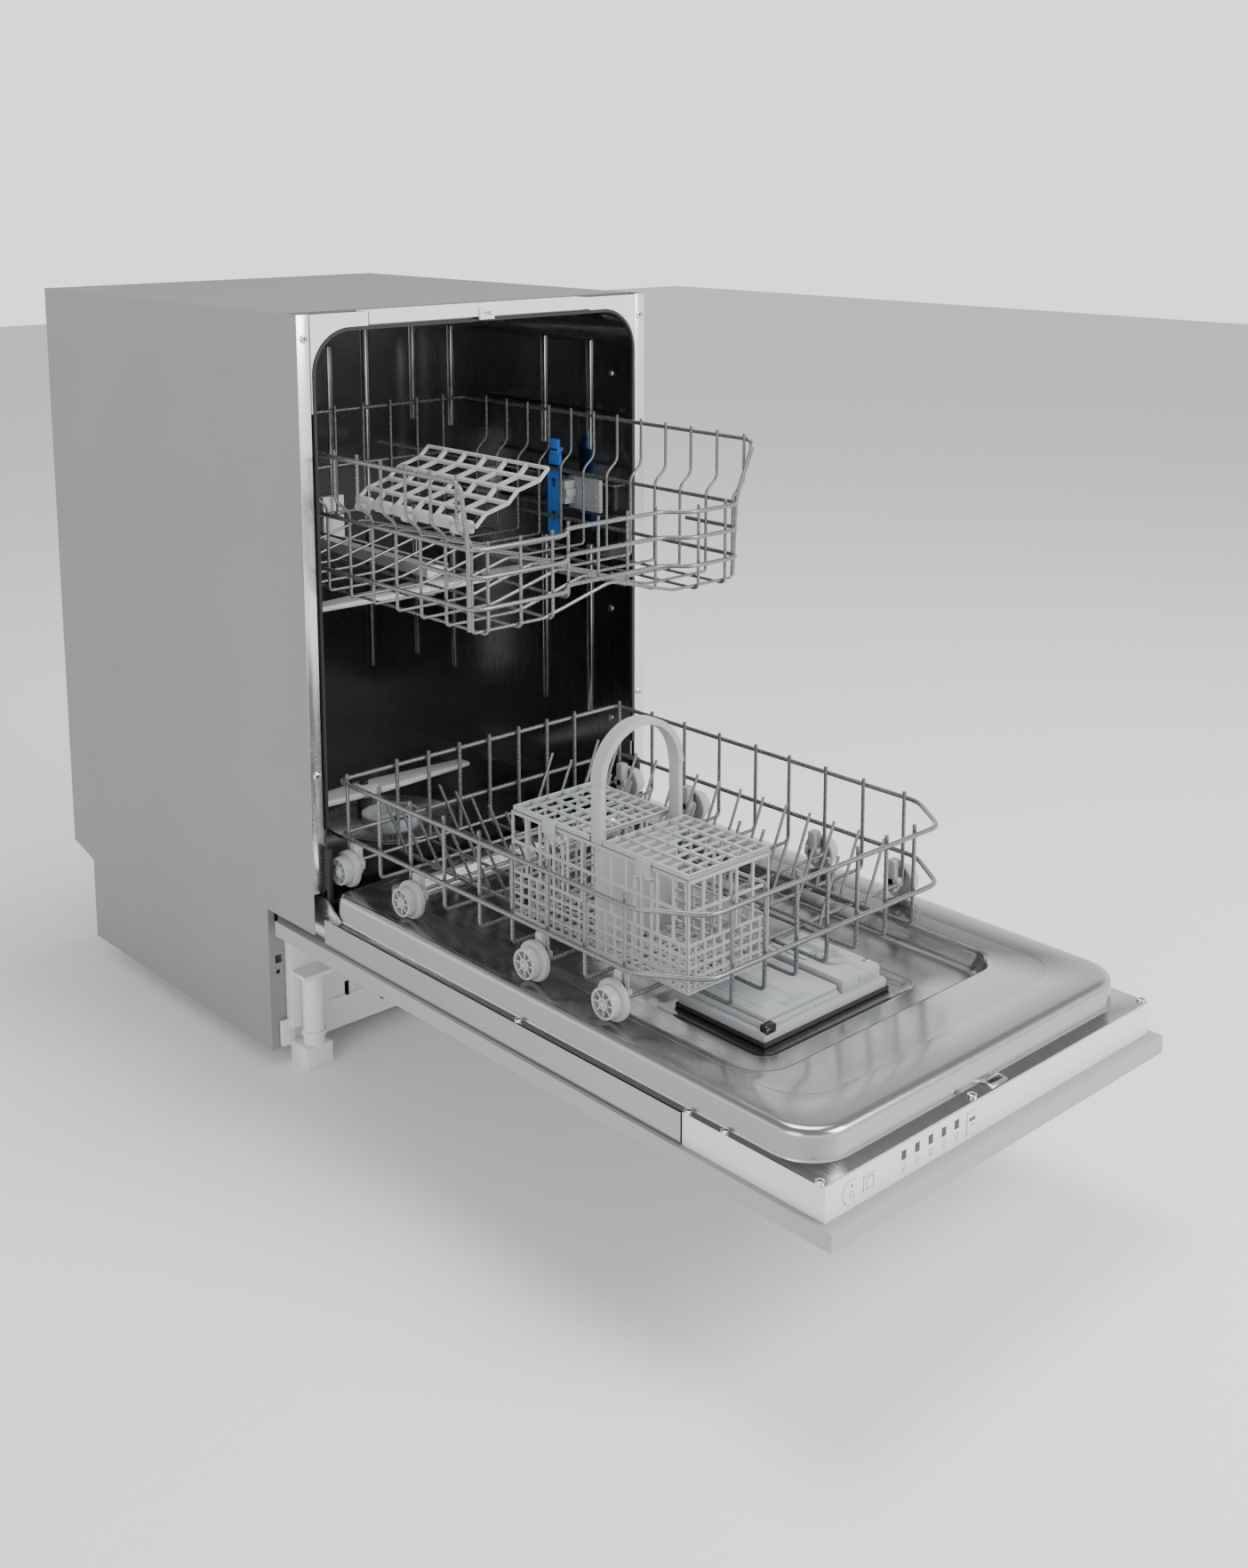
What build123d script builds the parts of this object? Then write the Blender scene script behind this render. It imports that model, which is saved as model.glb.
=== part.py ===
from build123d import *
import os

# Slimline built-in dishwasher, door open and both racks pulled out. Millimetres, +Z up, +Y to the
# back. The origin is on the floor, under the middle of the whole open machine.
# Heights are z. Depths are given as d, measured back from the cabinet's front edge, so that what
# stands in front of the cabinet has a negative d.

# cabinet
WIDTH = 448
HEIGHT = 790
DEPTH = 527
FRONT = 74  # y of the cabinet's front edge
SHEET = 0.8
PLINTH_TOP = 174
PLINTH_DEPTH = 88
BASE_BOTTOM = 17
BASE_BACK = 480
FLANGE = 14
FLANGE_BOTTOM = 216

# tub
TUB_HALF = 206
TUB_TOP = 773
TUB_BACK = 514
LEDGE = 219.5
BASIN_HALF = 165
BASIN_FLOOR = 188
TUB_CORNER = 42
SUMP_D = 185
ARM_D = 238

# door
DOOR_HALF = 220
DOOR_FLANGE = 194
SHELL_END = -514
FASCIA_END = -663
DECOR_FRONT = -675
DECOR_BACK = 74
DECOR_THICK = 16
HINGE_D = -36
HINGE_Z = 178
DOME_TOP = 219.5
PAN_FLOOR = 200

# racks
WIRE = 4
RIM = 5
GAP = 0.1  # left between welded wires and between welded sheets, which touch on the real machine
UPPER_FRONT = -200
UPPER_BACK = 281
UPPER_RIM = 652
UPPER_NARROW = 173
UPPER_WIDE = 189
LOWER_FRONT = -478
LOWER_BACK = 5
LOWER_FLOOR = 240
LOWER_RIM = 325
LOWER_HALF = 188
WHEEL_R = 18.5
WHEEL_DRUM_R = 14
WHEEL_D = (-12, -117, -300, -403)
WHEEL_Z = LEDGE + WHEEL_R + 0.3

# basket
BASKET_X = -100
BASKET_D = -337
BASKET_WIDTH = 100
BASKET_LENGTH = 230
BASKET_BOTTOM = 247.5
BASKET_TOP = 346
BASKET_WALL = 2


def level(z):
    """Horizontal plane at height z, with its origin above the cabinet's front edge."""
    return Plane(origin=(0, FRONT, z), x_dir=(1, 0, 0), z_dir=(0, 0, 1))


def facing(d):
    """Upright plane at depth d, seen from the front: x to the right, y up."""
    return Plane(origin=(0, FRONT + d, 0), x_dir=(1, 0, 0), z_dir=(0, -1, 0))


def side(x):
    """Upright plane at x, seen from the left with the back to the right: x is d, y is z."""
    return Plane(origin=(x, FRONT, 0), x_dir=(0, 1, 0), z_dir=(1, 0, 0))


def save(builder, name):
    """Label a finished sub-part and write its STEP file."""
    builder.part.label = name
    export_step(builder.part, f"parts/{name}.step")


def slab(x0, x1, d0, d1, z0, z1, mode=Mode.ADD):
    """Rectangular block between two corners, added to the part that is being built."""
    with BuildSketch(level(z0), mode=Mode.PRIVATE) as outline:
        with Locations(((x0 + x1) / 2, (d0 + d1) / 2)):
            Rectangle(x1 - x0, d1 - d0)
    extrude(outline.sketch, amount=z1 - z0, mode=mode)


def upright(x, d, z0, z1, radius, mode=Mode.ADD):
    """Vertical round bar or hole."""
    with BuildSketch(level(z0), mode=Mode.PRIVATE) as outline:
        with Locations((x, d)):
            Circle(radius)
    extrude(outline.sketch, amount=z1 - z0, mode=mode)


def rods_across(points, x0, x1, diameter):
    """Straight wires along X through a list of (d, z) points."""
    with BuildSketch(side(x0), mode=Mode.PRIVATE) as ends:
        with Locations(*points):
            Circle(diameter / 2)
    extrude(ends.sketch, amount=x1 - x0)


def rods_back(points, d0, d1, diameter):
    """Straight wires along Y through a list of (x, z) points."""
    with BuildSketch(facing(d1), mode=Mode.PRIVATE) as ends:
        with Locations(*points):
            Circle(diameter / 2)
    extrude(ends.sketch, amount=d1 - d0)


def rods_up(points, z0, z1, diameter):
    """Straight wires along Z through a list of (x, d) points."""
    with BuildSketch(level(z0), mode=Mode.PRIVATE) as ends:
        with Locations(*points):
            Circle(diameter / 2)
    extrude(ends.sketch, amount=z1 - z0)


def rod(start, end, diameter):
    """One straight wire between two (x, d, z) points."""
    a = Vector(start[0], FRONT + start[1], start[2])
    b = Vector(end[0], FRONT + end[1], end[2])
    with BuildSketch(Plane(origin=a, z_dir=b - a), mode=Mode.PRIVATE) as tip:
        Circle(diameter / 2)
    extrude(tip.sketch, amount=(b - a).length)


def side_outline():
    """Outline of the cabinet's side in d and z, with the plinth recess and the rear chamfer."""
    Polyline(
        (0, PLINTH_TOP), (0, HEIGHT), (DEPTH, HEIGHT), (DEPTH, 125), (BASE_BACK, 113),
        (BASE_BACK, BASE_BOTTOM), (PLINTH_DEPTH, BASE_BOTTOM), (PLINTH_DEPTH, PLINTH_TOP),
        close=True,
    )


os.makedirs("parts", exist_ok=True)

# ---------------------------------------------------------------- cabinet skins

for name, hand in (("left_side_panel", -1), ("right_side_panel", 1)):
    skin = WIDTH / 2
    with BuildPart() as panel:
        with BuildSketch(side(hand * skin - (SHEET if hand > 0 else 0))):
            with BuildLine():
                side_outline()
            make_face()
        extrude(amount=SHEET)
        # folded flange along the front edge, with two screw holes
        with BuildSketch(facing(SHEET)):
            with Locations((hand * (skin - FLANGE / 2), (FLANGE_BOTTOM + HEIGHT) / 2)):
                Rectangle(FLANGE, HEIGHT - FLANGE_BOTTOM)
            with Locations((hand * 216, 767), (hand * 216, 337)):
                Circle(2.2, mode=Mode.SUBTRACT)
        extrude(amount=SHEET)
        # folded flange along the plinth recess, with its slot, window and fixing hole
        with BuildSketch(facing(PLINTH_DEPTH + SHEET)):
            with Locations((hand * (skin - 9), (BASE_BOTTOM + PLINTH_TOP) / 2)):
                Rectangle(18, PLINTH_TOP - BASE_BOTTOM)
            with Locations((hand * 214, 163)):
                Rectangle(5, 10, mode=Mode.SUBTRACT)
            with Locations((hand * 213, 116)):
                Rectangle(8, 9, mode=Mode.SUBTRACT)
            with Locations((hand * 214, 102)):
                Circle(2.5, mode=Mode.SUBTRACT)
        extrude(amount=SHEET)
    save(panel, name)

with BuildPart() as top_panel:
    slab(-222.9, 222.9, 22, DEPTH - 1.5, HEIGHT - 1, HEIGHT)
    slab(-222.9, 222.9, 22, 23, HEIGHT - 12, HEIGHT - 1)
save(top_panel, "top_panel")

with BuildPart() as back_panel:
    slab(-222.9, 222.9, DEPTH - 1, DEPTH, 126, HEIGHT - 1.2)
save(back_panel, "back_panel")

# ---------------------------------------------------------------- tub and its trim

with BuildPart() as tub:
    with BuildSketch(facing(TUB_BACK + SHEET)):
        with Locations((0, (LEDGE + TUB_TOP) / 2)):
            RectangleRounded(2 * (TUB_HALF + SHEET), TUB_TOP - LEDGE + 2 * SHEET, TUB_CORNER)
    extrude(amount=TUB_BACK + SHEET - 2)
    slab(-TUB_HALF - SHEET, TUB_HALF + SHEET, 2, TUB_BACK + SHEET, LEDGE - SHEET, LEDGE + 45)
    slab(-BASIN_HALF - SHEET, BASIN_HALF + SHEET, 30, 460, BASIN_FLOOR - SHEET, LEDGE)
    with BuildSketch(facing(TUB_BACK)):
        with Locations((0, (LEDGE + TUB_TOP) / 2)):
            RectangleRounded(2 * TUB_HALF, TUB_TOP - LEDGE, TUB_CORNER)
    extrude(amount=TUB_BACK + 5, mode=Mode.SUBTRACT)
    slab(-TUB_HALF, TUB_HALF, -5, TUB_BACK, LEDGE, LEDGE + 45, mode=Mode.SUBTRACT)
    slab(-BASIN_HALF, BASIN_HALF, 30 + SHEET, 460 - SHEET, BASIN_FLOOR, LEDGE + 1, mode=Mode.SUBTRACT)
    # openings for the sump and for the salt container's mouth
    upright(0, SUMP_D, BASIN_FLOOR - 2, BASIN_FLOOR + 1, 76, mode=Mode.SUBTRACT)
    upright(-105, 330, BASIN_FLOOR - 2, BASIN_FLOOR + 1, 31, mode=Mode.SUBTRACT)
    # collar around the mouth
    with BuildSketch(facing(2 + SHEET)):
        with Locations((0, (LEDGE + 787) / 2)):
            Rectangle(2 * 209.5, 787 - LEDGE)
        with Locations((0, (LEDGE + TUB_TOP) / 2)):
            RectangleRounded(2 * TUB_HALF, TUB_TOP - LEDGE, TUB_CORNER, mode=Mode.SUBTRACT)
        with Locations((0, LEDGE + 30)):
            Rectangle(2 * TUB_HALF, 62, mode=Mode.SUBTRACT)
    extrude(amount=SHEET)
    # lip in front of the basin, down to the door's lower seal
    slab(-TUB_HALF, TUB_HALF, 1, 2, 196, LEDGE - SHEET)
    slab(-TUB_HALF, TUB_HALF, 1, 30, LEDGE - SHEET, LEDGE)
    # weld seams between the side walls, the back wall, the crown and the collar
    outside = TUB_HALF + 6 * SHEET
    crown = TUB_TOP - TUB_CORNER
    for d in (2 + SHEET, TUB_BACK - GAP):
        slab(-outside, outside, d, d + GAP, LEDGE, TUB_TOP + 2 * SHEET, mode=Mode.SUBTRACT)
    slab(-outside, outside, TUB_BACK - GAP, TUB_BACK, LEDGE - 2 * SHEET, LEDGE, mode=Mode.SUBTRACT)
    for z, d in ((LEDGE, 2), (crown, 2 + SHEET)):
        slab(-outside, outside, d, TUB_BACK, z, z + GAP, mode=Mode.SUBTRACT)
save(tub, "tub")

with BuildPart() as tub_gasket:
    with BuildSketch(facing(1.7)):
        with Locations((0, (LEDGE + TUB_TOP) / 2)):
            RectangleRounded(2 * TUB_HALF + 4, TUB_TOP - LEDGE + 4, TUB_CORNER + 2)
            RectangleRounded(2 * TUB_HALF - 2, TUB_TOP - LEDGE - 2, TUB_CORNER - 1, mode=Mode.SUBTRACT)
        with Locations((0, LEDGE + 20)):
            Rectangle(500, 82, mode=Mode.SUBTRACT)
    extrude(amount=4)
save(tub_gasket, "tub_gasket")

with BuildPart() as corner_gussets:
    with BuildSketch(facing(1.7)):
        with Locations((-176, 742), (176, 742)):
            Rectangle(66, 94)
        with Locations((0, (LEDGE + TUB_TOP) / 2)):
            RectangleRounded(2 * TUB_HALF + 5, TUB_TOP - LEDGE + 5, TUB_CORNER + 2.5, mode=Mode.SUBTRACT)
    extrude(amount=3)
save(corner_gussets, "corner_gussets")

with BuildPart() as top_trim:
    slab(-142, 142, -3, 1.5, 777, 789)
    slab(-142, 142, -3, 21, 787.2, 789)
    # striker tab that the door's lock hooks
    slab(-9, 9, -6, -3, 774, 786)
    slab(-5, 5, -8, -2, 778, 782, mode=Mode.SUBTRACT)
    # holes for the screws that go up into the worktop
    upright(-120, 12, 780, 795, 2.25, mode=Mode.SUBTRACT)
    upright(120, 12, 780, 795, 2.25, mode=Mode.SUBTRACT)
save(top_trim, "top_trim")

with BuildPart() as screws:
    for x in (-216, 216):
        for z in (337, 767):
            with BuildSketch(facing(-0.1)):
                with Locations((x, z)):
                    Circle(4)
            extrude(amount=2)
            with BuildSketch(facing(8)):
                with Locations((x, z)):
                    Circle(2.1)
            extrude(amount=8.1)
    # heads along the open door's flange
    for d in (-310, -520, -560, -656):
        for x in (-216.2, 216.2):
            upright(x, d, DOOR_FLANGE, DOOR_FLANGE + 2, 4)
    upright(-32, -656, DOOR_FLANGE, DOOR_FLANGE + 2, 4)
save(screws, "screws")

# ---------------------------------------------------------------- base

with BuildPart() as base_tray:
    slab(-205, 205, 85, BASE_BACK - 1, BASE_BOTTOM, 172)
    slab(-202, 202, 88, BASE_BACK - 4, BASE_BOTTOM + 3, 173, mode=Mode.SUBTRACT)
    # service recess in the apron, with its slot and its round hole
    slab(-150, 150, 84, 86.5, 52, 173, mode=Mode.SUBTRACT)
    slab(-134, -128, 80, 95, 50, 66, mode=Mode.SUBTRACT)
    with BuildSketch(facing(95)):
        with Locations((-84, 36)):
            Circle(6)
    extrude(amount=15, mode=Mode.SUBTRACT)
    # sockets that hold the front legs
    for x in (-188, 188):
        slab(x - 17, x + 17, 76, 85, 40, 165)
        slab(x - 17, x + 17, 52, 85, 100, 104)
    # outlets at the back, for the water valve and the drain spigot
    for x, z in ((-150, 70), (60, 64)):
        with BuildSketch(facing(BASE_BACK + 2)):
            with Locations((x, z)):
                Circle(14.5)
        extrude(amount=8, mode=Mode.SUBTRACT)
save(base_tray, "base_tray")

with BuildPart() as feet:
    for x in (-188, 188):
        slab(x - 16, x + 16, 53, 84.8, 0, 24)
        upright(x, 64, 24, 99.8, 11)
    # rear leg, turned from the front
    upright(0, 440, 0, 5, 18)
    upright(0, 440, 5, BASE_BOTTOM - 0.1, 6)
save(feet, "feet")

with BuildPart() as counterweight:
    slab(-196, 196, 405, 474, 20.1, 52)
    with BuildSketch(level(20.1)):
        with Locations((0, 440)):
            Circle(22)
    extrude(amount=40, mode=Mode.SUBTRACT)
save(counterweight, "counterweight")

with BuildPart() as sump:
    upright(0, SUMP_D, 104, 187, 75)
    upright(0, SUMP_D, 110, 190, 71, mode=Mode.SUBTRACT)
    upright(0, SUMP_D, 96, 104, 40)
    # post that feeds the lower spray arm, with the pin it spins on
    upright(0, ARM_D, 108, 203.9, 9)
    upright(0, ARM_D, 203.9, 221, 5)
save(sump, "sump")

with BuildPart() as filter_plate:
    upright(0, SUMP_D, 187.1, 190, 74)
    upright(0, SUMP_D, 186, 191, 33.5, mode=Mode.SUBTRACT)
    upright(0, ARM_D, 186, 191, 10, mode=Mode.SUBTRACT)
save(filter_plate, "filter_plate")

with BuildPart() as filter_cup:
    upright(0, SUMP_D, 120, 197, 33)
    upright(0, SUMP_D, 123, 198, 30, mode=Mode.SUBTRACT)
    # windows in the cup's wall and the finger bar across its mouth
    with Locations(Location((0, FRONT + SUMP_D, 155))):
        with PolarLocations(0, 4):
            Box(80, 16, 44, mode=Mode.SUBTRACT)
    slab(-30, 30, SUMP_D - 2, SUMP_D + 2, 189, 196)
save(filter_cup, "filter_cup")

with BuildPart() as circulation_pump:
    with BuildSketch(side(-150)):
        with Locations((170, 57)):
            Circle(30)
    extrude(amount=95)
    with BuildSketch(side(-55)):
        with Locations((170, 57)):
            Circle(36)
    extrude(amount=28)
    slab(-66, -44, 160, 180, 80, 103.9)
save(circulation_pump, "circulation_pump")

with BuildPart() as drain_pump:
    with BuildSketch(side(20)):
        with Locations((170, 60)):
            Circle(22)
    extrude(amount=70)
    with BuildSketch(side(90)):
        with Locations((170, 60)):
            Circle(26)
    extrude(amount=16)
    slab(22, 40, 160, 180, 79, 95.8)
    # pipe that leads out at the back, with the thicker spigot for the drain hose on its end
    with BuildSketch(facing(480)):
        with Locations((60, 64)):
            Circle(7.5)
    extrude(amount=295)
    with BuildSketch(facing(500)):
        with Locations((60, 64)):
            Circle(9)
    extrude(amount=20)
    with BuildSketch(facing(501)):
        with Locations((60, 64)):
            Circle(6)
    extrude(amount=300, mode=Mode.SUBTRACT)
save(drain_pump, "drain_pump")

with BuildPart() as water_softener:
    slab(-170, -40, 290, 390, 60, 178)
    upright(-105, 330, 178, 189, 30)
    upright(-105, 330, 120, 190, 24, mode=Mode.SUBTRACT)
save(water_softener, "water_softener")

with BuildPart() as salt_cap:
    upright(-105, 330, 189.3, 197, 30)
    upright(-105, 330, 178, 189.3, 23.5)
    slab(-125, -85, 327, 333, 197, 203)
save(salt_cap, "salt_cap")

with BuildPart() as water_valve:
    with BuildSketch(facing(BASE_BACK)):
        with Locations((-150, 70)):
            Circle(13.2)
            Circle(6, mode=Mode.SUBTRACT)
    extrude(amount=-14)
    with BuildSketch(facing(BASE_BACK)):
        with Locations((-150, 70)):
            Circle(14)
            Circle(6, mode=Mode.SUBTRACT)
    extrude(amount=25)
    slab(-168, -132, 425, 455, 55, 85)
save(water_valve, "water_valve")

with BuildPart() as feed_pipe:
    # flat duct up the back of the tub, with the nozzle that feeds the upper arm
    slab(-22, 22, TUB_BACK - 11, TUB_BACK - 0.3, 224, 566)
    with BuildSketch(facing(TUB_BACK - 11)):
        with Locations((0, 540)):
            Circle(13)
            Circle(9, mode=Mode.SUBTRACT)
    extrude(amount=5)
save(feed_pipe, "feed_pipe")

with BuildPart() as upper_rails:
    # two bars on each tub wall, with the rollers running between them
    for hand in (-1, 1):
        x0, x1 = sorted((hand * (TUB_HALF - 0.1), hand * (TUB_HALF - 8)))
        slab(x0, x1, 20, 480, 573, 575)
        slab(x0, x1, 20, 480, 537, 539)
save(upper_rails, "upper_rails")

# ---------------------------------------------------------------- hinge

with BuildPart() as hinge_brackets:
    for hand in (-1, 1):
        with BuildSketch(side(hand * 214 - 1)):
            with BuildLine():
                Polyline(
                    (HINGE_D - 8, HINGE_Z - 9), (HINGE_D - 8, HINGE_Z + 9), (-6, 212), (60, 212),
                    (84, 188), (84, HINGE_Z - 9), close=True,
                )
            make_face()
        extrude(amount=2)
        with BuildSketch(side(hand * 216.8 - 1.8)):
            with Locations((HINGE_D, HINGE_Z)):
                Circle(4.9)
        extrude(amount=3.6)
save(hinge_brackets, "hinge_brackets")

with BuildPart() as hinge_arms:
    for hand in (-1, 1):
        with BuildSketch(side(hand * 217.2 - 1.1)):
            with Locations((HINGE_D, HINGE_Z)):
                Circle(11)
            with BuildLine():
                Polyline(
                    (HINGE_D, HINGE_Z + 10), (-180, 190), (-180, 168), (HINGE_D, HINGE_Z - 9),
                    close=True,
                )
            make_face()
            with Locations((HINGE_D, HINGE_Z)):
                Circle(5, mode=Mode.SUBTRACT)
        extrude(amount=2.2)
save(hinge_arms, "hinge_arms")

with BuildPart() as hinge_springs:
    rods_back([(-194, 110), (194, 110)], 120, 300, 13)
save(hinge_springs, "hinge_springs")

# ---------------------------------------------------------------- door

with BuildPart() as decor_panel:
    slab(-WIDTH / 2, WIDTH / 2, DECOR_FRONT, DECOR_BACK, 165 - DECOR_THICK, 165)
save(decor_panel, "decor_panel")

with BuildPart() as door_shell:
    slab(-DOOR_HALF, DOOR_HALF, SHELL_END, -12, 165.1, 193)
    slab(-DOOR_HALF + SHEET, DOOR_HALF - SHEET, SHELL_END - 1, -12 - SHEET, 165.1 + SHEET, 194,
         mode=Mode.SUBTRACT)
    # gaps in the rear wall that let the hinge arms out
    for x in (-212, 212):
        slab(x - 7, x + 7, -14, -10, 165.1 + SHEET, 194, mode=Mode.SUBTRACT)
save(door_shell, "door_shell")

with BuildPart() as door_liner:
    slab(-DOOR_HALF + 0.5, DOOR_HALF - 0.5, FASCIA_END + 2, -10, DOOR_FLANGE - SHEET, DOOR_FLANGE)
    with BuildSketch(level(DOOR_FLANGE - SHEET)):
        with Locations((0, -328)):
            Rectangle(424, 636)
        fillet(vertices().group_by(Axis.Y)[0], 40)
    extrude(amount=DOME_TOP - DOOR_FLANGE + SHEET)
    with BuildSketch(level(DOOR_FLANGE - 2)):
        with Locations((0, -328)):
            Rectangle(424 - 2 * SHEET, 636 - 2 * SHEET)
        fillet(vertices().group_by(Axis.Y)[0], 40 - SHEET)
    extrude(amount=DOME_TOP - DOOR_FLANGE + 2 - SHEET, mode=Mode.SUBTRACT)
    # pressed pan that carries the dispenser
    slab(-165 - SHEET, 150 + SHEET, -550 - SHEET, -40 + SHEET, PAN_FLOOR - SHEET, DOME_TOP)
    slab(-165, 150, -550, -40, PAN_FLOOR, DOME_TOP + 1, mode=Mode.SUBTRACT)
    # slot for the striker, and notches for the hinge brackets
    slab(-8, 12, -657, -649, 190, 196, mode=Mode.SUBTRACT)
    for x in (-217, 217):
        slab(x - 4.8, x + 4.8, -46, -9, 190, 196, mode=Mode.SUBTRACT)
save(door_liner, "door_liner")

with BuildPart() as control_fascia:
    slab(-218, 218, FASCIA_END, SHELL_END - 0.3, 165.1, DOOR_FLANGE - SHEET - 0.1)
    slab(-215, 215, FASCIA_END + 3, SHELL_END, 168, DOOR_FLANGE, mode=Mode.SUBTRACT)
    # openings for the buttons and the indicator windows
    with BuildSketch(facing(FASCIA_END + 5)):
        with Locations((-189, 179)):
            Circle(9.9)
        with Locations((-168, 179)):
            Rectangle(13.8, 13.8)
        with Locations((-42, 179)):
            Rectangle(12.8, 18.8)
        with Locations(*[(-127 + 16.5 * i, 184) for i in range(5)]):
            Rectangle(6, 8)
    extrude(amount=8, mode=Mode.SUBTRACT)
save(control_fascia, "control_fascia")

with BuildPart() as led_windows:
    with BuildSketch(facing(FASCIA_END + 3)):
        with Locations(*[(-127 + 16.5 * i, 184) for i in range(5)]):
            Rectangle(5.9, 7.9)
    extrude(amount=2.8)
save(led_windows, "led_windows")

for name, x, wide, tall in (("program_button", -168, 13, 13), ("start_button", -42, 12, 18)):
    with BuildPart() as button:
        with BuildSketch(facing(FASCIA_END + 6)):
            with Locations((x, 179)):
                RectangleRounded(wide, tall, 2)
        extrude(amount=6.8)
    save(button, name)

with BuildPart() as power_button:
    with BuildSketch(facing(FASCIA_END + 6)):
        with Locations((-189, 179)):
            Circle(9.5)
    extrude(amount=6.8)
save(power_button, "power_button")

with BuildPart() as door_lock:
    slab(-28, 32, -659.5, -612, 172, 193)
    slab(-8, 12, -657, -649, 180, 194, mode=Mode.SUBTRACT)
save(door_lock, "door_lock")

with BuildPart() as dispenser_body:
    slab(-97, 65, -490, -385, PAN_FLOOR + 0.1, 213)
    slab(8, 62, -486, -390, 213, 221)
    slab(-84, 0, -474, -402, 203, 214, mode=Mode.SUBTRACT)
save(dispenser_body, "dispenser_body")

with BuildPart() as dispenser_lid:
    with BuildSketch(level(213.4)):
        with Locations((-43, -438)):
            RectangleRounded(92, 92, 4)
    extrude(amount=5)
save(dispenser_lid, "dispenser_lid")

with BuildPart() as rinse_aid_cap:
    upright(34, -450, 221.4, 224.4, 13)
    slab(24, 44, -452, -448, 224.4, 227)
save(rinse_aid_cap, "rinse_aid_cap")

# ---------------------------------------------------------------- upper rack

post = WIRE - 1
post_high = UPPER_WIDE - RIM / 2 - post / 2 - GAP
post_low = UPPER_NARROW - RIM / 2 - post / 2 - GAP
post_pitch = 38.5
post_depths = [round(UPPER_FRONT + 8.5 + post_pitch * i, 2) for i in range(12)]
hands = (-1, 1)

with BuildPart() as upper_rack_rims:
    rods_back([(hand * UPPER_WIDE, UPPER_RIM) for hand in hands], UPPER_FRONT + 8, UPPER_BACK - 4, RIM)
    narrow = [(hand * UPPER_NARROW, z) for hand in hands for z in (588, 540)]
    rods_back(narrow, UPPER_FRONT + 4, UPPER_BACK - 4, RIM)
    rods_across([(UPPER_BACK, UPPER_RIM)], -UPPER_WIDE, UPPER_WIDE, RIM)
    rods_across([(UPPER_BACK, z) for z in (588, 540)], -UPPER_NARROW, UPPER_NARROW, RIM)
    rods_across([(UPPER_FRONT, z) for z in (588, 562, 533)], -UPPER_NARROW, UPPER_NARROW, RIM)
    # wires that lead from the top rim down to the front
    for hand in hands:
        rod((hand * UPPER_WIDE, UPPER_FRONT + 5, UPPER_RIM), (hand * 180, UPPER_FRONT, 593), RIM)
save(upper_rack_rims, "upper_rack_rims")

with BuildPart() as upper_rack_wires:
    front_d = UPPER_FRONT + RIM / 2 + post / 2 + GAP
    back_d = UPPER_BACK - RIM / 2 - post / 2 - GAP
    rods_up([(post_pitch * i, front_d) for i in range(-4, 5)], 512, 592, post)
    rods_up([(post_pitch * i, back_d) for i in range(-4, 5)], 512, 658, post)
    for d in post_depths:
        # side posts, wide at the top and stepped in to the narrow lower half
        for hand in hands:
            rod((hand * post_high, d, 658), (hand * post_high, d, 607), post)
            rod((hand * post_high, d, 607), (hand * post_low, d, 595), post)
            rod((hand * post_low, d, 595), (hand * post_low, d, 514), post)
            # floor wire, low at the side and rising to the middle
            rod((hand * 165, d, 510), (hand * 83, d, 511), post)
            rod((hand * 83, d, 511), (hand * 3, d, 532), post)
    rods_back([(x, 505.4) for x in (-150, -96, 96, 150)], UPPER_FRONT + 5, UPPER_BACK - 5, WIRE)
save(upper_rack_wires, "upper_rack_wires")

with BuildPart() as rack_adjusters:
    for hand in hands:
        x0, x1 = sorted((hand * 192, hand * 197.6))
        slab(x0, x1, 38, 92, 541, 579)
        slab(x0, x1, 222, 258, 541, 579)
        x0, x1 = sorted((hand * 176, hand * 192))
        slab(x0, x1, 84, 90, 550, 574)
        slab(x0, x1, 224, 230, 550, 574)
        for d in (60, 240):
            with BuildSketch(side(hand * 200.2 - 2.6)):
                with Locations((d, 556)):
                    Circle(4)
            extrude(amount=5.2)
save(rack_adjusters, "rack_adjusters")

for name, d in (("upper_rollers_front", 60), ("upper_rollers_rear", 240)):
    with BuildPart() as rollers:
        for hand in hands:
            with BuildSketch(side(hand * 200.5 - 2.3)):
                with Locations((d, 556)):
                    Circle(16.3)
                    Circle(4.4, mode=Mode.SUBTRACT)
            extrude(amount=4.6)
    save(rollers, name)

for name, hand in (("left_adjuster_lever", -1), ("right_adjuster_lever", 1)):
    with BuildPart() as lever:
        x0, x1 = sorted((hand * 180, hand * 183.5))
        slab(x0, x1, 94, 110, 508, 618)
        x0, x1 = sorted((hand * 180, hand * 189))
        slab(x0, x1, 96, 108, 606, 610)
    save(lever, name)

with BuildPart() as cup_shelf:
    run = 95
    rise = 43
    for i in range(5):
        t = i / 4
        rods_back([(-164 + run * t, 604 + rise * t)], -196, 8, WIRE)
    for i in range(7):
        d = -190 + 32 * i
        rod((-163, d, 608.8), (-163 + run, d, 608.8 + rise), WIRE - 1)
save(cup_shelf, "cup_shelf")

with BuildPart() as arm_carrier:
    # duct along the rack's underside, from the tub's back to the spinning arm
    slab(-14, 14, 86, 292, 491, 503)
    slab(-14, 14, 284.5, 292, 503, 552)
    upright(0, 100, 468, 491, 5)
save(arm_carrier, "arm_carrier")

with BuildPart() as upper_spray_arm:
    with BuildSketch(level(474)):
        with Locations((0, 100)):
            SlotOverall(320, 30)
    extrude(amount=8)
    upright(0, 100, 471, 490.5, 18)
    upright(0, 100, 460, 500, 5.4, mode=Mode.SUBTRACT)
save(upper_spray_arm, "upper_spray_arm")

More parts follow.
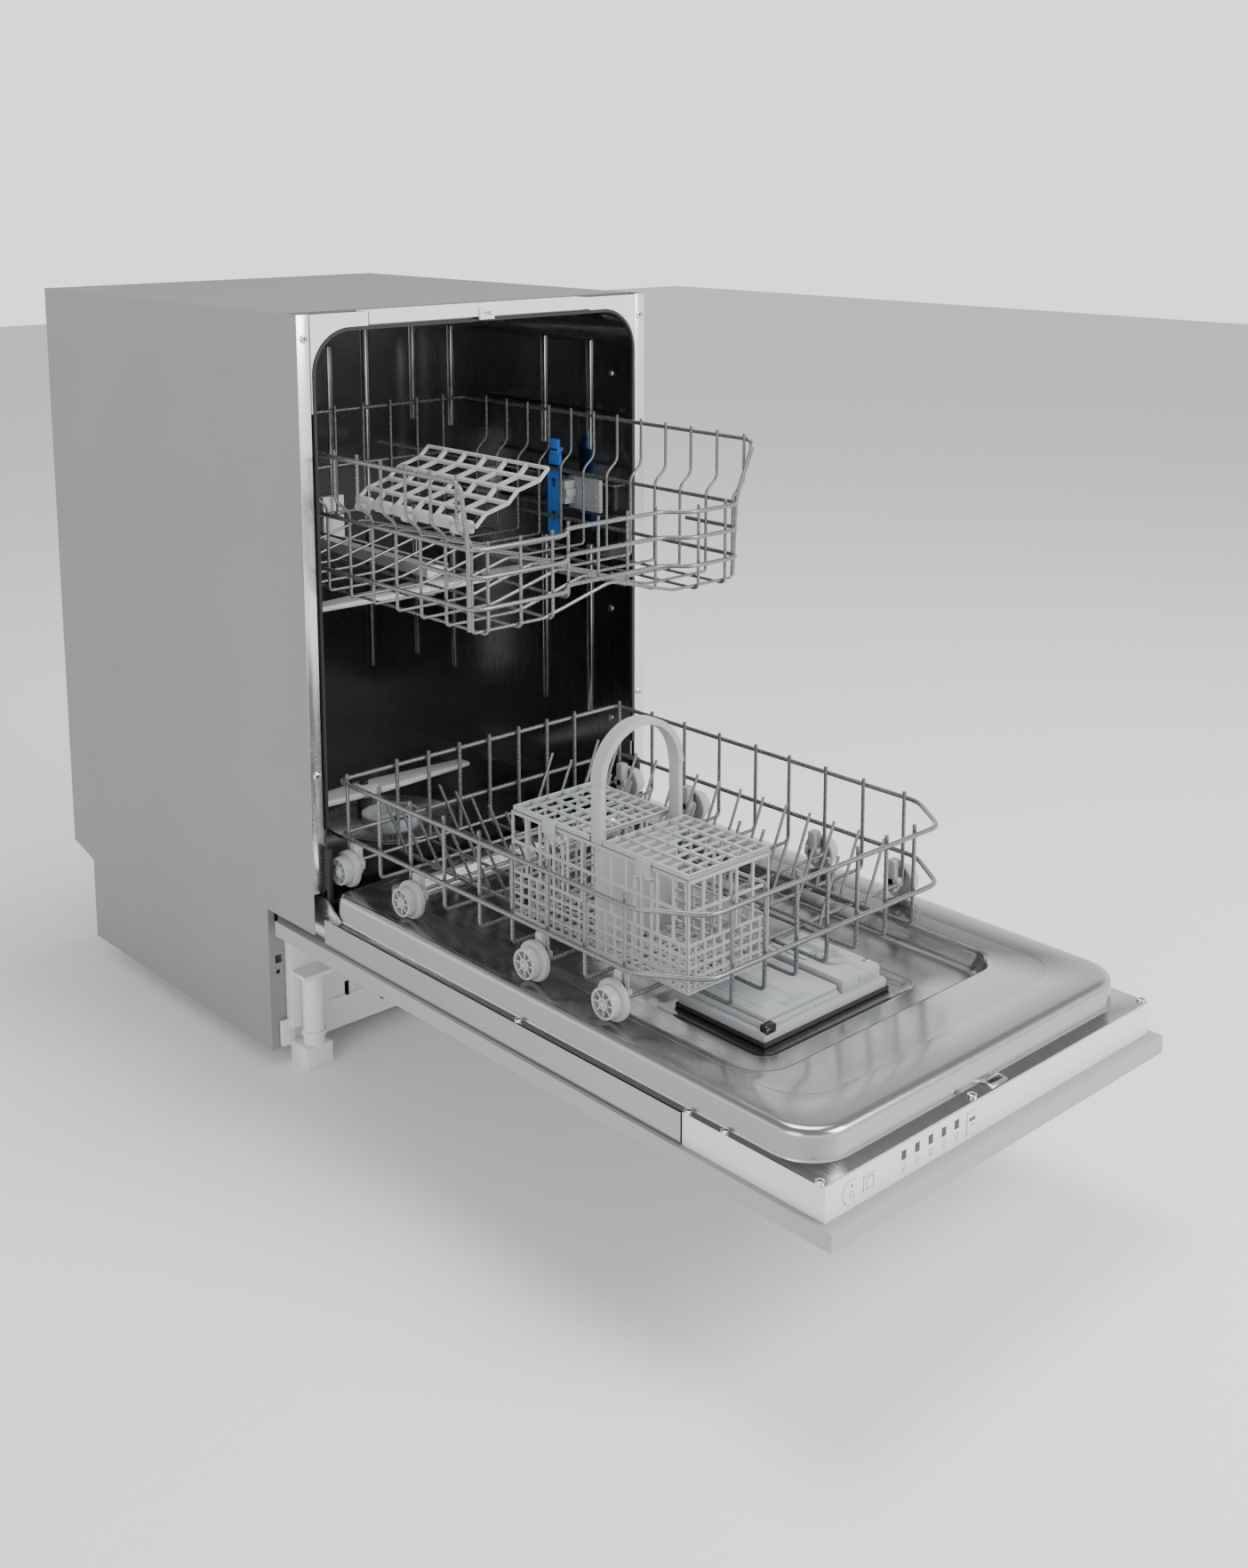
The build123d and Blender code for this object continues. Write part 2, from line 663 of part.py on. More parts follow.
with BuildPart() as lower_spray_arm:
    with BuildSketch(level(206)):
        with Locations((0, ARM_D)):
            SlotOverall(300, 32)
    extrude(amount=8)
    upright(0, ARM_D, 204.4, 219, 20)
    upright(0, ARM_D, 200, 222, 5.4, mode=Mode.SUBTRACT)
save(lower_spray_arm, "lower_spray_arm")

# ---------------------------------------------------------------- lower rack

lower_post = LOWER_HALF - RIM / 2 - WIRE / 2 - GAP
side_depths = (-4, -58, -109, -162, -215, -262, -311, -360, -411)

with BuildPart() as lower_rack_rims:
    for z in (LOWER_RIM, 269):
        rods_back([(hand * LOWER_HALF, z) for hand in hands], -418, LOWER_BACK - 4, RIM)
        rods_across([(LOWER_BACK, z)], -LOWER_HALF, LOWER_HALF, RIM)
        rods_across([(LOWER_FRONT, z)], -146, 146, RIM)
        for hand in hands:
            rod((hand * LOWER_HALF, -422, z), (hand * 152, LOWER_FRONT, z), RIM)
save(lower_rack_rims, "lower_rack_rims")

with BuildPart() as lower_rack_wires:
    rods_up([(hand * lower_post, d) for hand in hands for d in side_depths], 242.4, 333, WIRE)
    inside = RIM / 2 + WIRE / 2 + GAP
    for d in (LOWER_FRONT + inside, LOWER_BACK - inside):
        rods_up([(40 * i, d) for i in range(-3, 4)], 242.4, 333, WIRE)
    rods_across([(d, LOWER_FLOOR) for d in side_depths], -lower_post, lower_post, WIRE)
    long_wires = [(40 * i, LOWER_FLOOR - WIRE - GAP) for i in range(-3, 4)]
    rods_back(long_wires, LOWER_FRONT + 3, LOWER_BACK - 3, WIRE)
save(lower_rack_wires, "lower_rack_wires")

with BuildPart() as lower_rack_tines:
    for i in range(7):
        d = -28 - 27 * i
        rod((-130, d, 244), (-156, d, 305), post)
        rod((-62, d, 244), (-88, d, 305), post)
    for i in range(14):
        d = -28 - 31 * i
        rod((38, d, 244), (64, d, 305), post)
        rod((104, d, 244), (130, d, 305), post)
save(lower_rack_tines, "lower_rack_tines")

with BuildPart() as wheel_clips:
    for d in WHEEL_D:
        for hand in hands:
            x0, x1 = sorted((hand * 174, hand * 185.6))
            slab(x0, x1, d - 4.9, d + 4.9, 243, 262)
            slab(x0, x1, d - 4.9, d + 4.9, 231, 243)
            with BuildSketch(side(hand * 194.4 - 9)):
                with Locations((d, WHEEL_Z)):
                    Circle(3)
            extrude(amount=18)
save(wheel_clips, "wheel_clips")

for number, d in enumerate(WHEEL_D, start=1):
    with BuildPart() as wheels:
        for hand in hands:
            with BuildSketch(side(hand * 189.5 - 3)):
                with Locations((d, WHEEL_Z)):
                    Circle(WHEEL_R)
                    Circle(3.4, mode=Mode.SUBTRACT)
            extrude(amount=6)
            with BuildSketch(side(hand * 197.5 - 5)):
                with Locations((d, WHEEL_Z)):
                    Circle(WHEEL_DRUM_R)
                    Circle(3.4, mode=Mode.SUBTRACT)
            extrude(amount=10)
    save(wheels, f"rack_wheels_{number}")

# ---------------------------------------------------------------- cutlery basket

half = BASKET_WIDTH / 2
front = BASKET_D - BASKET_LENGTH / 2
back = BASKET_D + BASKET_LENGTH / 2

with BuildPart() as cutlery_basket:
    slab(BASKET_X - half, BASKET_X + half, front, back, BASKET_BOTTOM, BASKET_TOP)
    for d0, d1 in ((front + BASKET_WALL, BASKET_D - 1), (BASKET_D + 1, back - BASKET_WALL)):
        slab(BASKET_X - half + BASKET_WALL, BASKET_X + half - BASKET_WALL, d0, d1,
             BASKET_BOTTOM + BASKET_WALL, BASKET_TOP + 1, mode=Mode.SUBTRACT)
    # windows through the long walls and through the ends
    for i in range(8):
        d = front + 17 + 28 * i
        slab(BASKET_X - half - 1, BASKET_X + half + 1, d - 9, d + 9, 292, 336, mode=Mode.SUBTRACT)
        slab(BASKET_X - half - 1, BASKET_X + half + 1, d - 9, d + 9, 256, 284, mode=Mode.SUBTRACT)
save(cutlery_basket, "cutlery_basket")

with BuildPart() as basket_handle:
    for x in (BASKET_X - half + 3, BASKET_X + half - 3):
        slab(x - 3, x + 3, BASKET_D - 6, BASKET_D + 6, BASKET_TOP + 0.1, 440)
    slab(BASKET_X - half, BASKET_X + half, BASKET_D - 7, BASKET_D + 7, 440, 450)
save(basket_handle, "basket_handle")

for name, d0, d1 in (
    ("basket_lid_front", front + 1, BASKET_D - 9),
    ("basket_lid_rear", BASKET_D + 9, back - 1),
):
    with BuildPart() as lid:
        bars = [BASKET_X - half + 3 + 23.5 * i for i in range(5)]
        for x in bars:
            slab(x - 1.5, x + 1.5, d0, d1, BASKET_TOP + 0.6, BASKET_TOP + 3)
        for i in range(5):
            d = d0 + 2 + (d1 - d0 - 4) * i / 4
            slab(BASKET_X - half + 1, BASKET_X + half - 1, d - 1.5, d + 1.5, BASKET_TOP + 3.1, BASKET_TOP + 5.5)
        # barrel on the hinge line
        hinge_x = BASKET_X + half - 1
        rod((hinge_x, d0, BASKET_TOP + 3), (hinge_x, d1, BASKET_TOP + 3), 4.6)
    save(lid, name)
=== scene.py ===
import bpy
import bmesh
import math
from mathutils import Matrix, Vector


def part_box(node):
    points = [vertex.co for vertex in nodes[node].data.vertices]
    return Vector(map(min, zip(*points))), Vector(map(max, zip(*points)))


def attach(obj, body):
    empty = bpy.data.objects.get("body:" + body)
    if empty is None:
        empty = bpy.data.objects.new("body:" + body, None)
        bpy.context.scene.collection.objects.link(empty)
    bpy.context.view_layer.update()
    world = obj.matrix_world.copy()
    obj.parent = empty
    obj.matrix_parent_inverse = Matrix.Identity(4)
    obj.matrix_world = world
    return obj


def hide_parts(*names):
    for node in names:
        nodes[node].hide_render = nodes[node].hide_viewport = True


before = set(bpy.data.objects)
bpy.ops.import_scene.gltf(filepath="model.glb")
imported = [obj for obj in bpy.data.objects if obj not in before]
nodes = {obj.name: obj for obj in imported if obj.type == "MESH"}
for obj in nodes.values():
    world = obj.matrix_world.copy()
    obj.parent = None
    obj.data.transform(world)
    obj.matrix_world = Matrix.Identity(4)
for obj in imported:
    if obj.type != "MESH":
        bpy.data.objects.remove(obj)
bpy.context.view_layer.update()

# Places are given in millimetres as x, d and z: d is the depth behind the cabinet's front edge.
MM = 0.001
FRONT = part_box("left_side_panel")[0].y

HANDS = (-1, 1)  # left and right


def place(x, d, z):
    """Point in metres from x, depth and height in millimetres."""
    return Vector((x * MM, FRONT + d * MM, z * MM))


def in_mm(node):
    """A node's low and high corners in millimetres, as x, d, z."""
    return [Vector((p.x / MM, (p.y - FRONT) / MM, p.z / MM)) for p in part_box(node)]


def out_of(hand):
    """Direction away from the middle of the machine on one side."""
    return (hand, 0, 0)


# ---------------------------------------------------------------- materials

def linear(hex_colour):
    """sRGB hex value turned to a linear colour."""
    parts = [int(hex_colour[i:i + 2], 16) / 255 for i in (1, 3, 5)]
    return [c / 12.92 if c < 0.04045 else ((c + 0.055) / 1.055) ** 2.4 for c in parts]


def add(tree, kind, settings=(), **inputs):
    """Adds one node. An input is a constant, or the output socket of another node."""
    made = tree.nodes.new(kind)
    for name, value in dict(settings).items():
        setattr(made, name, value)
    for name, value in inputs.items():
        socket = made.inputs[name.replace("_", " ")]
        if isinstance(value, bpy.types.NodeSocket):
            tree.links.new(value, socket)
        else:
            socket.default_value = value
    return made


def surface(name, colour, roughness, grain_mm, grain_depth, stretch=(1, 1, 1), spread=0.08,
            tint=0.06, **sockets):
    """Material with a grain of a real size: it bumps the surface and varies colour and gloss."""
    material = bpy.data.materials.new(name)
    material.use_nodes = True
    tree = material.node_tree
    shader = tree.nodes["Principled BSDF"]
    for socket, value in sockets.items():
        shader.inputs[socket.replace("_", " ")].default_value = value
    where = add(tree, "ShaderNodeTexCoord")
    stretched = add(tree, "ShaderNodeMapping", Vector=where.outputs["Object"], Scale=stretch)
    grain = add(tree, "ShaderNodeTexNoise", Vector=stretched.outputs["Vector"],
                Scale=1 / (grain_mm * MM), Detail=3.0, Roughness=0.6)
    broad = add(tree, "ShaderNodeTexNoise", Vector=where.outputs["Object"], Scale=9.0, Detail=2.0)
    base = linear(colour)
    shade = add(tree, "ShaderNodeMix", {"data_type": "RGBA"})
    tree.links.new(broad.outputs["Fac"], shade.inputs["Factor"])
    shade.inputs[6].default_value = [c * (1 - tint) for c in base] + [1.0]
    shade.inputs[7].default_value = [min(1.0, c * (1 + tint)) for c in base] + [1.0]
    gloss = add(tree, "ShaderNodeMapRange", Value=grain.outputs["Fac"], From_Min=0.3, From_Max=0.7,
                To_Min=max(0.02, roughness - spread), To_Max=min(1.0, roughness + spread))
    bump = add(tree, "ShaderNodeBump", Height=grain.outputs["Fac"], Strength=0.35,
               Distance=grain_depth * MM)
    tree.links.new(shade.outputs[2], shader.inputs["Base Color"])
    tree.links.new(gloss.outputs["Result"], shader.inputs["Roughness"])
    tree.links.new(bump.outputs["Normal"], shader.inputs["Normal"])
    return material


# Zinc coated sheet, rolled: an even satin grey with a faint cloudiness.
zinc_sheet = surface("zinc_coated_sheet", "#8E8E8E", 0.55, 2.2, 0.02, Metallic=0.35)
# The same sheet on the cabinet's lid, coloured a little darker as painted shade on its upward
# face.
zinc_lid_painted_shade = surface("zinc_coated_lid_painted_shade", "#686868", 0.55, 2.2, 0.02, Metallic=0.35)
# Stainless sheet, drawn and brushed: long fine lines that stretch the reflections across the door.
brushed_stainless = surface("brushed_stainless_sheet", "#A6A7A8", 0.2, 0.9, 0.012,
                            stretch=(1, 0.03, 1), spread=0.07, tint=0.03, Metallic=1.0)
# Stainless sheet, bright rolled, darkened as painted shade: a dark mirror for the shadow inside
# the tub.
tub_stainless_painted_shade = surface("bright_rolled_stainless_painted_shade", "#7F8081", 0.18, 4.0, 0.03,
                        stretch=(1, 1, 0.25), spread=0.05, tint=0.08, Metallic=1.0)
# The same steel on the ribs' rounded crests, lightened as a painted highlight where it catches the
# light.
rib_painted_highlight = surface("bright_rolled_rib_painted_highlight", "#D2D3D4", 0.15, 4.0, 0.02, spread=0.04, tint=0.05,
                        Metallic=1.0)
# Cabinet's front flange and screws: bright zinc plating.
bright_zinc = surface("bright_zinc_plating", "#D6D7D8", 0.22, 1.2, 0.01, tint=0.03,
                      Metallic=1.0)
# ABS, moulded in white: a soft satin gloss with a fine spark texture.
white_abs = surface("moulded_white_abs", "#DADAD9", 0.36, 0.7, 0.012, tint=0.01, IOR=1.53)
# Polypropylene, moulded in light grey: waxier and softer than the ABS.
grey_pp = surface("moulded_grey_polypropylene", "#9B9D9F", 0.42, 0.8, 0.02, tint=0.02, IOR=1.49,
                  Subsurface_Weight=0.08)
# The spray arm's polypropylene is whiter.
white_pp = surface("moulded_white_polypropylene", "#C2C3C4", 0.38, 0.8, 0.02, tint=0.02,
                   IOR=1.49, Subsurface_Weight=0.08)
# Laminated chipboard: flat, light grey and nearly matt.
grey_laminate = surface("light_grey_laminate", "#9C9C9B", 0.5, 0.6, 0.01, tint=0.01, IOR=1.5)
# Steel wire dipped in silver grey nylon: rounded, slightly uneven gloss.
nylon_wire = surface("nylon_coated_wire", "#747678", 0.26, 1.6, 0.04, tint=0.05, Metallic=0.6,
                     Coat_Weight=0.3, Coat_Roughness=0.2)
# Blue polypropylene levers.
blue_pp = surface("moulded_blue_polypropylene", "#3577CF", 0.32, 0.8, 0.02, tint=0.03, IOR=1.49)
# EPDM rubber seal: black and dull; the same black also gives the painted shade around the
# dispenser's foot.
black_epdm_and_gap_shade = surface("extruded_black_epdm_and_gap_shade", "#1A1A1B", 0.6, 0.9, 0.03, tint=0.1, IOR=1.5)
# Dark tinted polycarbonate windows; the same dark colour also serves as painted shade in the
# lock's slot.
smoked_window_and_slot_shade = surface("smoked_polycarbonate_and_slot_shade", "#1C1D20", 0.12, 0.8, 0.004, spread=0.02,
                        tint=0.02, IOR=1.58)
# Glass filled polypropylene under the tub; its dark colour also gives the painted shade in the
# screws' cross slots.
dark_pp_and_recess_shade = surface("dark_glass_filled_polypropylene_and_recess_shade", "#2D2F32", 0.5, 1.0, 0.04, tint=0.08,
                  IOR=1.49)
# Cast iron ballast, left rough.
cast_ballast = surface("rough_cast_iron", "#4B4A49", 0.75, 2.5, 0.3, tint=0.15, Metallic=0.7)
# Pad printing on the fascia: flat grey ink.
grey_ink = surface("pad_printed_grey_ink", "#5B5D60", 0.55, 0.6, 0.003, tint=0.02)

paint = {
    zinc_sheet: ["left_side_panel", "right_side_panel", "back_panel"],
    zinc_lid_painted_shade: ["top_panel"],
    bright_zinc: ["hinge_brackets", "hinge_arms", "hinge_springs", "screws", "upper_rails",
                  "filter_plate"],
    tub_stainless_painted_shade: ["tub"],
    brushed_stainless: ["door_shell", "door_liner"],
    white_abs: ["corner_gussets", "top_trim", "base_tray", "feet", "control_fascia", "water_valve",
                "feed_pipe", "program_button", "start_button", "power_button"],
    grey_laminate: ["decor_panel"],
    grey_pp: ["rack_adjusters", "upper_rollers_front", "upper_rollers_rear", "wheel_clips",
              "rinse_aid_cap", "dispenser_body", "dispenser_lid", "cup_shelf", "cutlery_basket",
              "basket_handle", "basket_lid_front", "basket_lid_rear", "filter_cup"],
    white_pp: ["arm_carrier", "upper_spray_arm", "lower_spray_arm"],
    nylon_wire: ["upper_rack_rims", "upper_rack_wires", "lower_rack_rims", "lower_rack_wires",
                 "lower_rack_tines"],
    blue_pp: ["left_adjuster_lever", "right_adjuster_lever"],
    black_epdm_and_gap_shade: ["tub_gasket"],
    smoked_window_and_slot_shade: ["led_windows"],
    dark_pp_and_recess_shade: ["door_lock", "circulation_pump", "drain_pump", "sump", "water_softener",
              "salt_cap"],
    cast_ballast: ["counterweight"],
}
for material, names in paint.items():
    for name in names:
        nodes[name].data.materials.clear()
        nodes[name].data.materials.append(material)


# ---------------------------------------------------------------- making pieces

def piece(bm, name, material, body, replaces=(), smooth=35):
    """Turns a bmesh into a finished piece that rides on a body."""
    bmesh.ops.remove_doubles(bm, verts=bm.verts, dist=0.01 * MM)
    bmesh.ops.recalc_face_normals(bm, faces=bm.faces)
    mesh = bpy.data.meshes.new(name)
    bm.to_mesh(mesh)
    bm.free()
    mesh.shade_smooth()
    mesh.set_sharp_from_angle(angle=math.radians(smooth))
    mesh.materials.append(material)
    made = bpy.data.objects.new(name, mesh)
    bpy.context.collection.objects.link(made)
    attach(made, body)
    if replaces:
        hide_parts(*replaces)


def block(bm, low, high, rounding=0.0, segments=2):
    """Box between two corners in millimetres, with rounded edges."""
    a, b = place(*low), place(*high)
    size = Matrix.Diagonal((*(b - a), 1.0))
    made = bmesh.ops.create_cube(bm, size=1.0, matrix=Matrix.Translation((a + b) / 2) @ size)
    if rounding:
        edges = list(dict.fromkeys(e for v in made["verts"] for e in v.link_edges))
        bmesh.ops.bevel(bm, geom=edges, offset=rounding * MM, segments=segments, profile=0.5,
                        affect="EDGES", material=-1)
    return made["verts"]


def side_block(bm, hand, reach, depths, heights, rounding=0.0, segments=2):
    """Box on one side of the machine, with its reach measured outwards from the middle."""
    x0, x1 = sorted((hand * reach[0], hand * reach[1]))
    return block(bm, (x0, depths[0], heights[0]), (x1, depths[1], heights[1]), rounding, segments)


def blocks(name, material, body, shapes, replaces=()):
    """Piece made of boxes, each with its two corners and its rounding."""
    bm = bmesh.new()
    for low, high, rounding in shapes:
        block(bm, low, high, rounding)
    piece(bm, name, material, body, replaces)


def loop_of(bm, points):
    """Closed loop of vertices and edges through points in metres."""
    verts = [bm.verts.new(point) for point in points]
    return verts, [bm.edges.new(pair) for pair in zip(verts, verts[1:] + verts[:1])]


def turned(bm, centre, axis, profile, steps=32):
    """Spins a closed profile of (radius, height along the axis) points once around the axis."""
    axis = Vector(axis).normalized()
    across = axis.orthogonal().normalized()
    middle = place(*centre)
    verts, edges = loop_of(bm, [middle + across * r * MM + axis * h * MM for r, h in profile])
    bmesh.ops.spin(bm, geom=verts + edges, cent=middle, axis=axis, angle=math.tau, steps=steps,
                   use_merge=True, use_duplicate=False)


def disc(bm, centre, axis, radius, height, chamfer=0.4, steps=32):
    """Solid round button or boss standing on its centre."""
    turned(bm, centre, axis, ((0.01, 0), (radius, 0), (radius, height - chamfer),
                              (radius - chamfer, height), (0.01, height)), steps)


def lattice(bm, corner, along, across, cells_along, cells_across, bar, thickness, zigzag=0.0):
    """Moulded grid: a sheet of opened cells with bars between. Rows may step to and fro."""
    u, v = Vector(along), Vector(across)
    normal = u.cross(v).normalized()
    plane = Matrix((
        (u.x * MM, v.x * MM, normal.x, 0), (u.y * MM, v.y * MM, normal.y, 0),
        (u.z * MM, v.z * MM, normal.z, 0), (0, 0, 0, 1)))
    start = place(*corner)
    middle = place(*(Vector(corner) + u / 2 + v / 2))
    before = set(bm.faces)
    made = bmesh.ops.create_grid(bm, x_segments=cells_along, y_segments=cells_across, size=0.5,
                                 matrix=Matrix.Translation(middle) @ plane)
    for vert in made["verts"]:
        row = round((vert.co - start).dot(v) / v.length_squared / MM * cells_across)
        vert.co += u.normalized() * zigzag * MM * (1 if row % 2 else -1)
    cells = [f for f in bm.faces if f not in before]
    inset = bmesh.ops.inset_individual(bm, faces=cells, thickness=bar / 2 * MM,
                                       use_even_offset=True)
    rims = set(inset["faces"])
    opened = [f for f in cells if f.is_valid and f not in rims]
    bmesh.ops.delete(bm, geom=opened, context="FACES_ONLY")
    sheet = [f for f in bm.faces if f not in before]
    bmesh.ops.solidify(bm, geom=sheet, thickness=thickness * MM)


def rounded_outline(low, high, z, front_radius, back_radius, steps=10):
    """Points around a rectangle in x and d with rounded corners."""
    (x0, d0), (x1, d1) = low, high
    # each corner: its arc's middle, its radius and where the arc starts, in degrees
    corners = (
        (x1 - back_radius, d1 - back_radius, back_radius, 0),
        (x0 + back_radius, d1 - back_radius, back_radius, 90),
        (x0 + front_radius, d0 + front_radius, front_radius, 180),
        (x1 - front_radius, d0 + front_radius, front_radius, 270),
    )
    points = []
    for x, d, radius, start in corners:
        for i in range(steps + 1):
            turn = math.radians(start + 90 * i / steps)
            points.append(place(x + radius * math.cos(turn), d + radius * math.sin(turn), z))
    return points


def nearest_to(point, outline):
    """Index of the outline's point nearest to a point."""
    return min(range(len(outline)), key=lambda i: (outline[i] - point).length)


def pressed(bm, outlines):
    """Sheet pressed in steps: each outline grows into the next one and the last is filled."""
    edges = loop_of(bm, outlines[0])[1]
    for outline, following in zip(outlines, outlines[1:]):
        grown = bmesh.ops.extrude_edge_only(bm, edges=edges)["geom"]
        verts = [v for v in grown if isinstance(v, bmesh.types.BMVert)]
        edges = [e for e in grown if isinstance(e, bmesh.types.BMEdge)
                 and all(v in verts for v in e.verts)]
        for vert in verts:
            vert.co = following[nearest_to(vert.co, outline)]
    bmesh.ops.contextual_create(bm, geom=edges)


def bent(points, bend=6.0, steps=4):
    """Path in metres through points in millimetres, with each inner corner bent round."""
    points = [Vector(p) for p in points]
    path = [points[0]]
    for before, corner, after in zip(points, points[1:], points[2:]):
        reach = min(bend, (corner - before).length * 0.45, (after - corner).length * 0.45)
        start = corner + (before - corner).normalized() * reach
        end = corner + (after - corner).normalized() * reach
        for i in range(steps + 1):
            t = i / steps
            path.append(start.lerp(corner, t).lerp(corner.lerp(end, t), t))
    path.append(points[-1])
    return [place(*p) for p in path]


def wires(name, groups, body, replaces):
    """Coated wires as one piece. Each group is a diameter with the paths of its wires."""
    bm = bmesh.new()
    for diameter, paths in groups:
        curve = bpy.data.curves.new(name, "CURVE")
        curve.dimensions = "3D"
        curve.bevel_depth = diameter / 2 * MM
        curve.bevel_resolution = 2
        curve.use_fill_caps = True
        for path, closed in paths:
            spline = curve.splines.new("POLY")
            spline.points.add(len(path) - 1)
            for point, at in zip(spline.points, path):
                point.co = (*at, 1)
            spline.use_cyclic_u = closed
        shape = bpy.data.objects.new(name, curve)
        bpy.context.collection.objects.link(shape)
        view = bpy.context.evaluated_depsgraph_get()
        bm.from_mesh(bpy.data.meshes.new_from_object(shape.evaluated_get(view)))
        bpy.data.objects.remove(shape)
    piece(bm, name, nylon_wire, body, replaces, smooth=60)


def closed_loop(points, bend=8.0):
    """Closed rim through corner points, each one bent round."""
    around = [points[-1]] + list(points) + [points[0]]
    return bent(around, bend)[1:-1], True


def open_wire(points, bend=6.0):
    """Open wire through points."""
    return bent(points, bend), False


# ---------------------------------------------------------------- upper rack

UPPER_FRONT = -200
UPPER_BACK = 281
POST_PITCH = 38.5
POST_WIDE = 184.9
POST_NARROW = 169
RIM_WIDE = 189
RIM_NARROW = 173.1
RIM_TOP = 652
POST_TOP = 658
GRIP = 22  # the middle of the front is set back, as a place for the fingers
ROLLER_DEPTHS = (60, 240)
ROLLER_Z = 556


def floor_height(x):
    """Height of the upper rack's floor wires, low at the sides and raised along the middle."""
    rise = max(0.0, 1 - abs(x) / 84)
    return 510 + 22 * rise


def front_path(z, back):
    """Path at one height, from the left side round the grip to the right side."""
    return [(-RIM_NARROW, back, z), (-RIM_NARROW, UPPER_FRONT, z), (-62, UPPER_FRONT, z),
            (-46, UPPER_FRONT + GRIP, z), (84, UPPER_FRONT + GRIP, z), (100, UPPER_FRONT, z),
            (RIM_NARROW, UPPER_FRONT, z), (RIM_NARROW, back, z)]


def upper_rack():
    """Rims, posts and floor of the upper rack."""
    # top rim, open to the front, where each end slopes in and turns down to the corner post
    rims = [open_wire([
        (-171, -190, 512), (-173, -192, 592), (-RIM_WIDE, UPPER_FRONT - 2, RIM_TOP),
        (-RIM_WIDE, UPPER_BACK, RIM_TOP), (RIM_WIDE, UPPER_BACK, RIM_TOP),
        (RIM_WIDE, UPPER_FRONT - 2, RIM_TOP), (173, -192, 592), (171, -190, 512)], bend=12)]
    for z in (588, 533):
        rims.append(closed_loop(front_path(z, UPPER_BACK), bend=16))
    # short wire between them across the front, turned back along the sides
    rims.append(open_wire(front_path(562, -120), bend=16))
    posts = []
    for i in range(12):
        d = UPPER_FRONT + 8.5 + POST_PITCH * i
        side = [(-POST_WIDE, d, POST_TOP), (-POST_WIDE, d, 608), (-POST_NARROW, d, 595),
                (-POST_NARROW, d, 510)]
        half = side + [(x, d, floor_height(x)) for x in (-160, -112, -84, -40, -4)]
        posts.append(open_wire(half + [(-x, depth, z) for x, depth, z in reversed(half)]))
    for i in range(-4, 5):
        x = i * POST_PITCH
        z = floor_height(x) - 3.2
        front = UPPER_FRONT + 4.2 + (GRIP if -50 < x < 88 else 0)
        posts.append(open_wire([
            (x, front, 594), (x, front, z), (x, UPPER_BACK - 4.2, z),
            (x, UPPER_BACK - 4.2, POST_TOP)], bend=7))
    wires("upper_rack_basket", [(4.6, rims), (3.2, posts)], "upper_rack",
          ("upper_rack_rims", "upper_rack_wires"))


def cup_shelf():
    """Folding shelf of six zigzag columns, hooked to the left side of the upper rack."""
    low, high = in_mm("cup_shelf")
    columns = 6
    first, last = low.y + 8, high.y - 8
    pitch = (last - first) / columns
    bm = bmesh.new()
    lattice(bm, (-163, first, 606), (0, last - first, 0), (94, 0, 42.5), columns, 5, 3.4, 3.4,
            zigzag=4.5)
    piece(bm, "cup_shelf_lattice", grey_pp, "cup_shelf", ("cup_shelf",))
    bm = bmesh.new()
    # scalloped band along the hinge, with barrel clips around the rack's rim
    for c in range(columns):
        d = first + pitch * c
        block(bm, (-165, d + 3, 600), (-159, d + pitch - 3, 612), 2)
    for d in (first + 18, (first + last) / 2, last - 18):
        turned(bm, (-166, d - 8, 602), (0, 1, 0), ((0.01, 0), (4.2, 0), (4.2, 16), (0.01, 16)), 20)
    piece(bm, "cup_shelf_clips", grey_pp, "cup_shelf")


